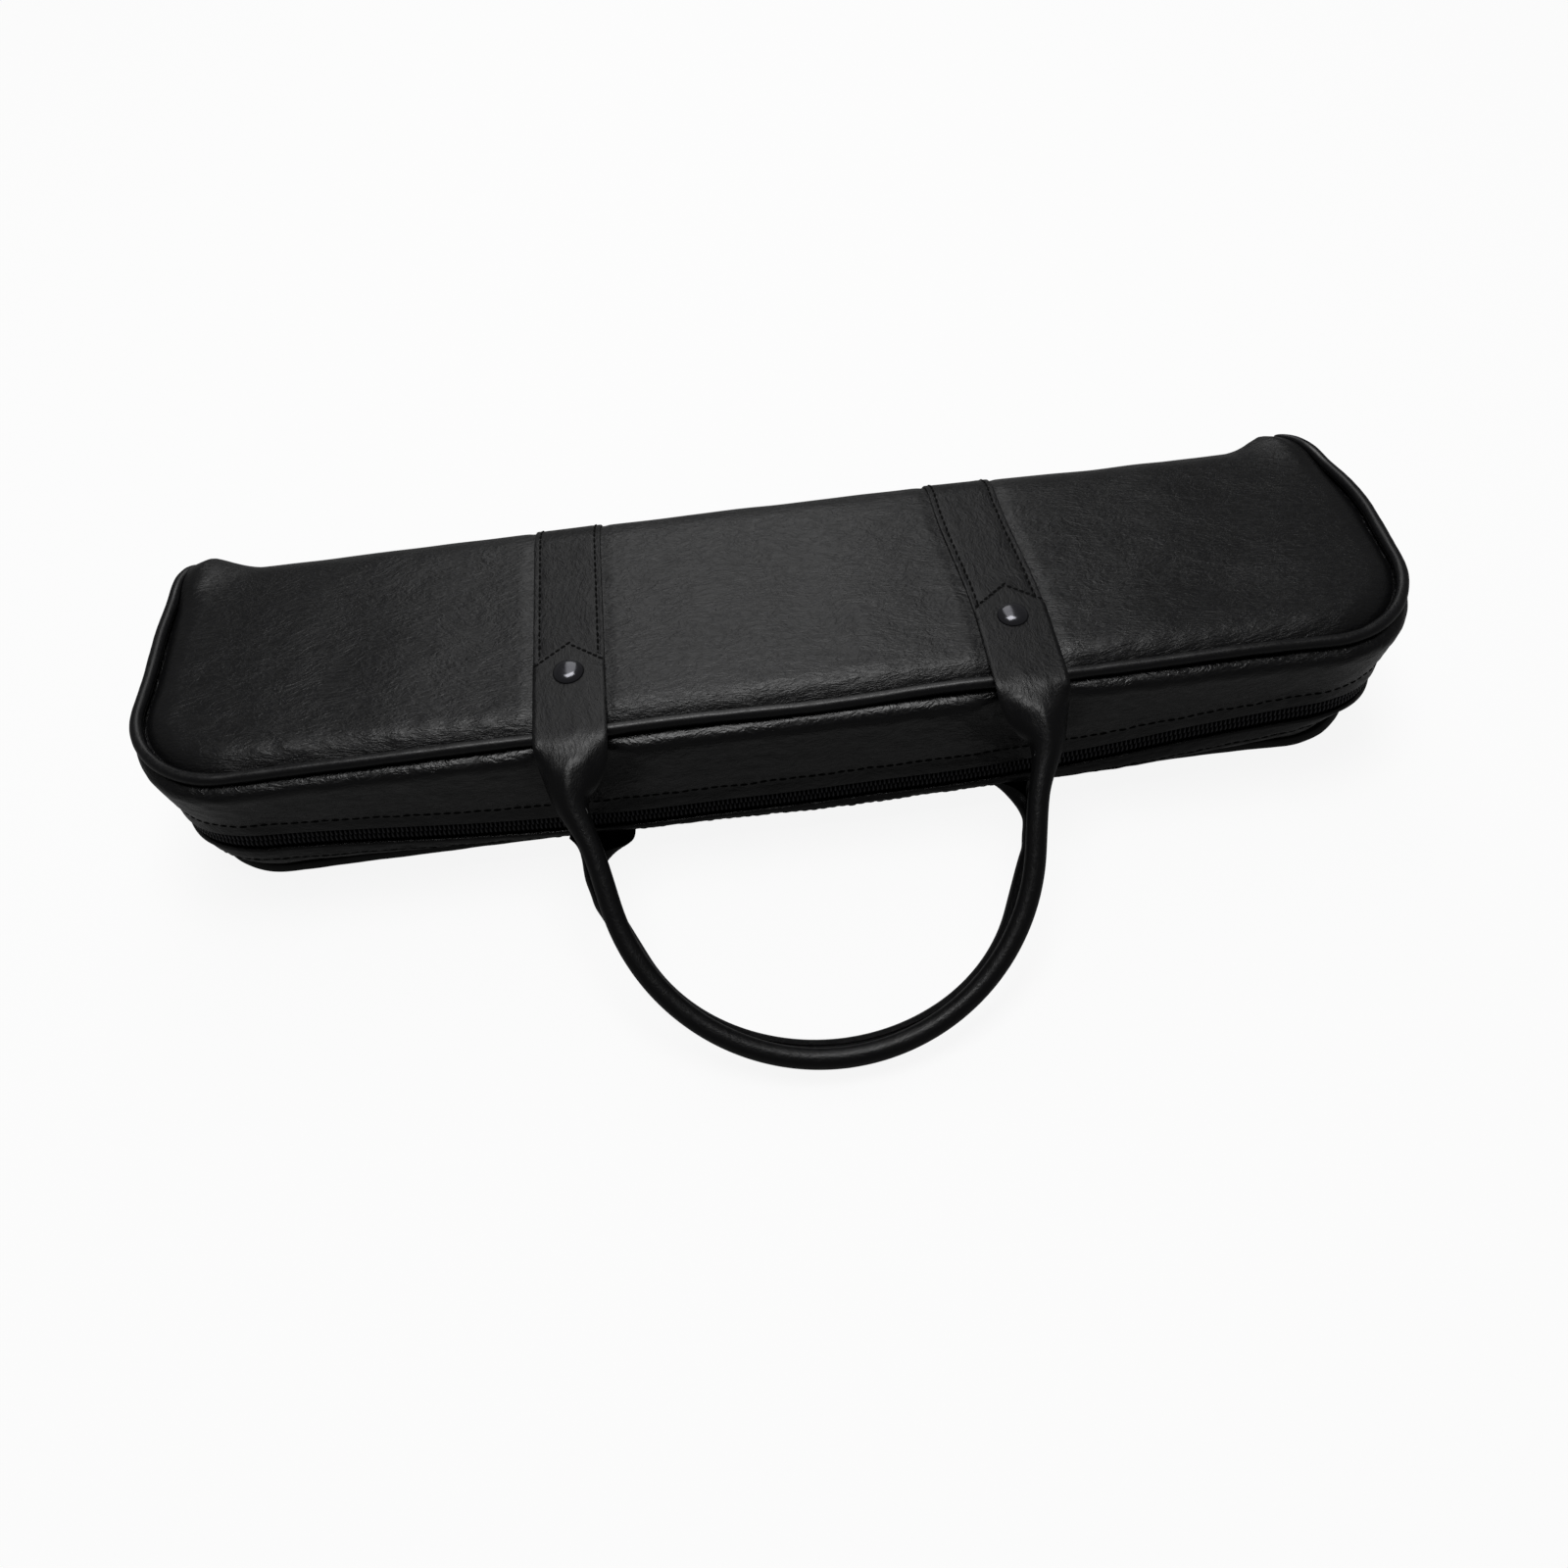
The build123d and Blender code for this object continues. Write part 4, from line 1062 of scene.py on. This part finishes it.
def plush(name):
    """Short cut-pile plush, black: clumps of pile lean different ways, and the cloth is painted lighter,
    up to grey, in those patches and where the pile stands high, as painted sheen. The pile itself is a fine
    rough bump."""
    material, tree = new_material(name)
    place = node(tree, "ShaderNodeTexCoord").outputs["Object"]
    pile = node(tree, "ShaderNodeTexNoise", {"Scale": 1000 / 0.8, "Detail": 4.0, "Roughness": 0.7},
                {"Vector": place})
    lean = node(tree, "ShaderNodeTexNoise", {"Scale": 1000 / 17, "Detail": 3.0, "Distortion": 0.8},
                {"Vector": place})
    both = node(tree, "ShaderNodeMath", {"operation": "MULTIPLY_ADD", 1: 0.5},
                {0: pile.outputs["Fac"], 2: lean.outputs["Fac"]})
    share = node(tree, "ShaderNodeMapRange", {"From Min": 0.5, "From Max": 1.0}, {"Value": both.outputs[0]})
    # Painted sheen: leaning patches and raised pile are painted lighter, towards #35353b.
    tone = node(tree, "ShaderNodeMix", {"data_type": "RGBA", 6: rgb("#17171a"), 7: rgb("#35353b")},
                {0: share.outputs[0]})
    bump = node(tree, "ShaderNodeBump", {"Strength": 0.9, "Distance": 0.5 * MM}, {"Height": both.outputs[0]})
    cloth = node(tree, "ShaderNodeBsdfPrincipled", {"Roughness": 0.95, "Sheen Weight": 0.6,
                                                    "Sheen Roughness": 0.4},
                 {"Base Color": tone.outputs[2], "Normal": bump.outputs[0]})
    node(tree, "ShaderNodeOutputMaterial", {}, {"Surface": cloth.outputs[0]})
    return material


def pan_outline(edge, back, scale):
    """Rounded outline of the pan at some level, moved in by edge from its front and ends and by back
    from its back, and drawn together towards its middle by scale."""
    low, high = lining_low + edge, lining_high - edge
    quarter = np.linspace(0, math.pi / 2, 10)
    front_r, back_r = max(corner_radius - (half_length - high[0]), 2.0), 3.0
    x, y = [], []
    for centre_x, centre_y, radius, start in (
            (high[0] - front_r, low[1] + front_r, front_r, -math.pi / 2),
            (high[0] - back_r, lining_high[1] - back - back_r, back_r, 0),
            (low[0] + back_r, lining_high[1] - back - back_r, back_r, math.pi / 2),
            (low[0] + front_r, low[1] + front_r, front_r, math.pi)):
        x.append(centre_x + radius * np.cos(start + quarter))
        y.append(centre_y + radius * np.sin(start + quarter))
    x, y = np.concatenate(x), np.concatenate(y)
    x, y = [np.interp(np.linspace(0, len(line), 4 * len(line), endpoint=False), np.arange(len(line) + 1),
                      np.append(line, line[0])) for line in (x, y)]
    return x * scale, (y - pan_middle) * scale + pan_middle


def pan_face(inset):
    """Columns of outlines from the rim down the wall, round the soft corner and in to the middle."""
    floor_z = lining_high[2] - inset
    turn = np.linspace(0, math.pi / 2, 9)
    radius = 5.0
    heights = np.concatenate([np.linspace(lining_low[2], floor_z - radius, 14)[:-1],
                              floor_z - radius + radius * np.sin(turn), [floor_z] * 14])
    edge = inset + np.concatenate([np.zeros(13), radius * (1 - np.cos(turn)), [radius] * 14])
    back_radius = wrap_radius - (back_y - lining_high[1]) - inset
    drop = np.clip((heights - (top_z - wrap_radius)) / back_radius, 0, 1)
    back = inset + back_radius * (1 - np.sqrt(1 - drop ** 2))
    scale = np.concatenate([np.ones(22), np.linspace(1, 0, 15)[1:]])
    columns = [np.stack([*pan_outline(e, b, k), h + 0 * pan_outline(e, b, k)[0]], -1)
               for e, b, k, h in zip(edge, back, scale, heights)]
    return np.stack(columns, 1)


lining_low, lining_high = [np.array(c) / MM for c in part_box("lid_lining")]
pan_middle = (lining_low[1] + lining_high[1]) / 2
black_plush = plush("black_plush")
lining = add_piece("lid_plush", np.concatenate([pan_face(0.0)[:, ::-1], pan_face(1.0)], 1),
                   black_plush, capped=False)
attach(lining, "lid")
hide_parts("lid_lining")

# ---- Fitted tray ----
# A block of foam under the same plush holds the three joints of the flute: the body at the back, and
# the head joint and the foot joint in front. The cloth rounds every edge of the wells.
tray_low, tray_high = [np.array(c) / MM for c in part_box("fitted_tray")]
tray_inset = half_length - tray_high[0]
upper_inset = tray_inset + 3.0
trough_radius = 12.5
trough_centre = 22.0
pocket_floor = 17.0
edge_round = 1.6
wall_run = 0.2
wells = [(-186.0, 186.0, 16.5, 17.0), (-179.0, 47.0, -20.5, 13.5), (53.0, 179.0, -20.5, 16.0)]
kept_half = 182.0
arc_steps = np.sin(np.linspace(0, math.pi / 2, 5))
edge_steps = np.concatenate([-edge_round + edge_round * arc_steps,
                             wall_run + edge_round * (1 - arc_steps[::-1])])


def sunk(t, depth):
    """Height under the top at distance t inside a well's edge: a quarter round, a wall that is almost
    upright, and a quarter round into the floor."""
    top = edge_round - np.sqrt(edge_round ** 2 - np.clip(t + edge_round, 0, edge_round) ** 2)
    wall = (depth - 2 * edge_round) * np.clip(t / wall_run, 0, 1)
    foot = np.sqrt(edge_round ** 2 - np.clip(edge_round + wall_run - t, 0, edge_round) ** 2) * (t > wall_run)
    return top + wall + foot


def tray_top_face(x, y):
    """Top of the tray: level with soft outer edges, and each well as a flat pocket for the keys with a
    round trough for the tube in its floor."""
    sink = 0 * x + 0 * y
    for low_x, high_x, middle_y, half_width in wells:
        trough = np.sqrt(np.maximum(trough_radius ** 2 - (y - middle_y) ** 2, 0))
        depth = tray_high[2] - np.minimum(pocket_floor, trough_centre - trough)
        inside = np.minimum(half_width - abs(y - middle_y), np.minimum(x - low_x, high_x - x))
        sink = np.maximum(sink, sunk(inside, depth + 0 * x))
    return tray_high[2] - sink


def tray_half(y, inset):
    """Half the tray's length at y, within its rounded front corners."""
    reach = corner_radius - inset
    return corner_x + np.sqrt(np.maximum(reach ** 2 - np.maximum(corner_y - y, 0) ** 2, 0))


front_top, back_top = tray_low[1] + 3.0, back_y - 13.1
corner_rows = front_top + (corner_radius - upper_inset) * (1 - np.cos(np.linspace(0, math.pi / 2, 14)))
tray_rows = [corner_rows, np.linspace(front_top, back_top, 50)]
tray_columns = [np.linspace(-1, 1, 150)]
for low_x, high_x, middle_y, half_width in wells:
    tray_rows += [middle_y - half_width + edge_steps, middle_y + half_width - edge_steps]
    tray_columns += [(edge + steps) / (half_length - upper_inset)
                     for edge, steps in ((low_x, edge_steps), (high_x, -edge_steps))]
tray_rows = np.unique(np.concatenate(tray_rows).round(3))
tray_columns = np.unique(np.concatenate(tray_columns).round(5))


def tray_x(y, inset):
    """x of each column at y: the columns keep their place up to the ends of the wells, and those
    beyond close up round the front corners."""
    half, full = tray_half(y, inset), half_length - upper_inset
    across, inner = abs(tray_columns) * full, np.minimum(kept_half, half - 2)
    beyond = np.maximum(across - kept_half, 0) * (half - inner) / (full - kept_half)
    return np.sign(tray_columns) * (np.minimum(across, kept_half) * inner / kept_half + beyond)


y = tray_rows[:, None]
x = tray_x(y, upper_inset)
from_edge = np.minimum(np.minimum(y - front_top, back_top - y), (1 - abs(tray_columns)) * 190)
soft = 1.6 * (1 - ramp(from_edge, 0, 3.0))
top_face = np.stack(np.broadcast_arrays(x, y, tray_top_face(x, y) - soft), -1)
low_y = np.linspace(tray_low[1], tray_high[1], len(tray_rows) + 4)[:, None]
low_x = tray_x(low_y, tray_inset)
back_turn = wrap_radius - (back_y - tray_high[1])
low_z = wrap_radius - np.sqrt(back_turn ** 2 - np.clip(low_y - wrap_y, 0, back_turn - 0.5) ** 2)
under = np.stack(np.broadcast_arrays(low_x, low_y, np.where(low_y > wrap_y, low_z, tray_low[2])), -1)
shoulders = []
for row_y, inset, z in ((tray_low[1], tray_inset, 20.6), (front_top, upper_inset, 21.0),
                        (back_top, upper_inset, 21.0), (tray_high[1], tray_inset, 20.6)):
    shoulders.append(np.stack(np.broadcast_arrays(tray_x(row_y, inset), row_y, z), -1)[None])
tray_loop = np.concatenate(shoulders[:2] + [top_face] + shoulders[2:] + [under[::-1]])
tray = add_piece("plush_tray", tray_loop, black_plush)
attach(tray, "base")
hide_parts("fitted_tray")

# ---- Stage ----
# Pale floor with soft studio light.


def studio_floor(name):
    """Pale matt floor. The camera and glass see it close to white and gloss sees part of that, it
    keeps part of the object's shadow, and it throws little light back up."""
    material, tree = new_material(name)
    path = node(tree, "ShaderNodeLightPath").outputs
    clear = node(tree, "ShaderNodeMath", {"operation": "MAXIMUM"},
                 {0: path["Is Camera Ray"], 1: path["Is Transmission Ray"]})
    clear = node(tree, "ShaderNodeMath", {"operation": "MULTIPLY", 1: 0.9}, {0: clear.outputs[0]})
    share = node(tree, "ShaderNodeMath", {"operation": "MULTIPLY_ADD", 1: 0.08},
                 {0: path["Is Glossy Ray"], 2: clear.outputs[0]})
    tone = node(tree, "ShaderNodeMix", {"data_type": "RGBA", 6: (0.16, 0.16, 0.16, 1),
                                        7: (0.8, 0.8, 0.8, 1)}, {0: path["Is Camera Ray"]})
    matt = node(tree, "ShaderNodeBsdfDiffuse", {}, {"Color": tone.outputs[2]})
    white = node(tree, "ShaderNodeEmission", {"Color": (1, 1, 1, 1), "Strength": 1.0})
    both = node(tree, "ShaderNodeMixShader", {},
                {0: share.outputs[0], 1: matt.outputs[0], 2: white.outputs[0]})
    node(tree, "ShaderNodeOutputMaterial", {}, {"Surface": both.outputs[0]})
    return material


floor_mesh = bpy.data.meshes.new("floor")
floor_mesh.from_pydata([(-9, -9, 0), (9, -9, 0), (9, 9, 0), (-9, 9, 0)], [], [(0, 1, 2, 3)])
floor_mesh.materials.append(studio_floor("studio_floor"))
floor = bpy.data.objects.new("floor", floor_mesh)
bpy.context.scene.collection.objects.link(floor)

world = bpy.data.worlds.new("studio")
bpy.context.scene.world = world
world.use_nodes = True
world.node_tree.nodes["Background"].inputs["Color"].default_value = (1, 1, 1, 1)
world.node_tree.nodes["Background"].inputs["Strength"].default_value = 0.13
for lamp_name, place, width, height, power in (("back", (0.0, 1.0, 1.25), 0.7, 1.8, 8.0),
                                               ("top", (-0.05, 0.1, 1.6), 0.9, 0.6, 16.0)):
    lamp = bpy.data.objects.new(lamp_name, bpy.data.lights.new(lamp_name, "AREA"))
    lamp.data.shape = "RECTANGLE"
    lamp.data.energy, lamp.data.size, lamp.data.size_y = power, width, height
    lamp.location = place
    lamp.rotation_mode = "QUATERNION"
    lamp.rotation_quaternion = (-lamp.location).to_track_quat("-Z", "Y")
    bpy.context.scene.collection.objects.link(lamp)

# ---- Camera ----
azimuth, elevation, roll, distance = -0.036, 0.9214, -0.096, 404.2
target = np.array((-2.894, -63.195, 35.7))
away = np.array((math.sin(azimuth) * math.cos(elevation), -math.cos(azimuth) * math.cos(elevation),
                 math.sin(elevation)))
level = np.array((math.cos(azimuth), math.sin(azimuth), 0))
upright = np.cross(away, level)
right = math.cos(roll) * level + math.sin(roll) * upright
up_axis = -math.sin(roll) * level + math.cos(roll) * upright
camera = bpy.data.objects.new("camera", bpy.data.cameras.new("camera"))
camera.data.lens, camera.data.sensor_width = 29.25, 36.0
camera.data.clip_start, camera.data.clip_end = 0.01, 50
placed = np.eye(4)
placed[:3] = np.stack([right, up_axis, away, (target + distance * away) * MM], 1)
camera.matrix_world = Matrix(placed.tolist())
bpy.context.scene.collection.objects.link(camera)
bpy.context.scene.camera = camera
bpy.context.scene.view_settings.view_transform = "Standard"
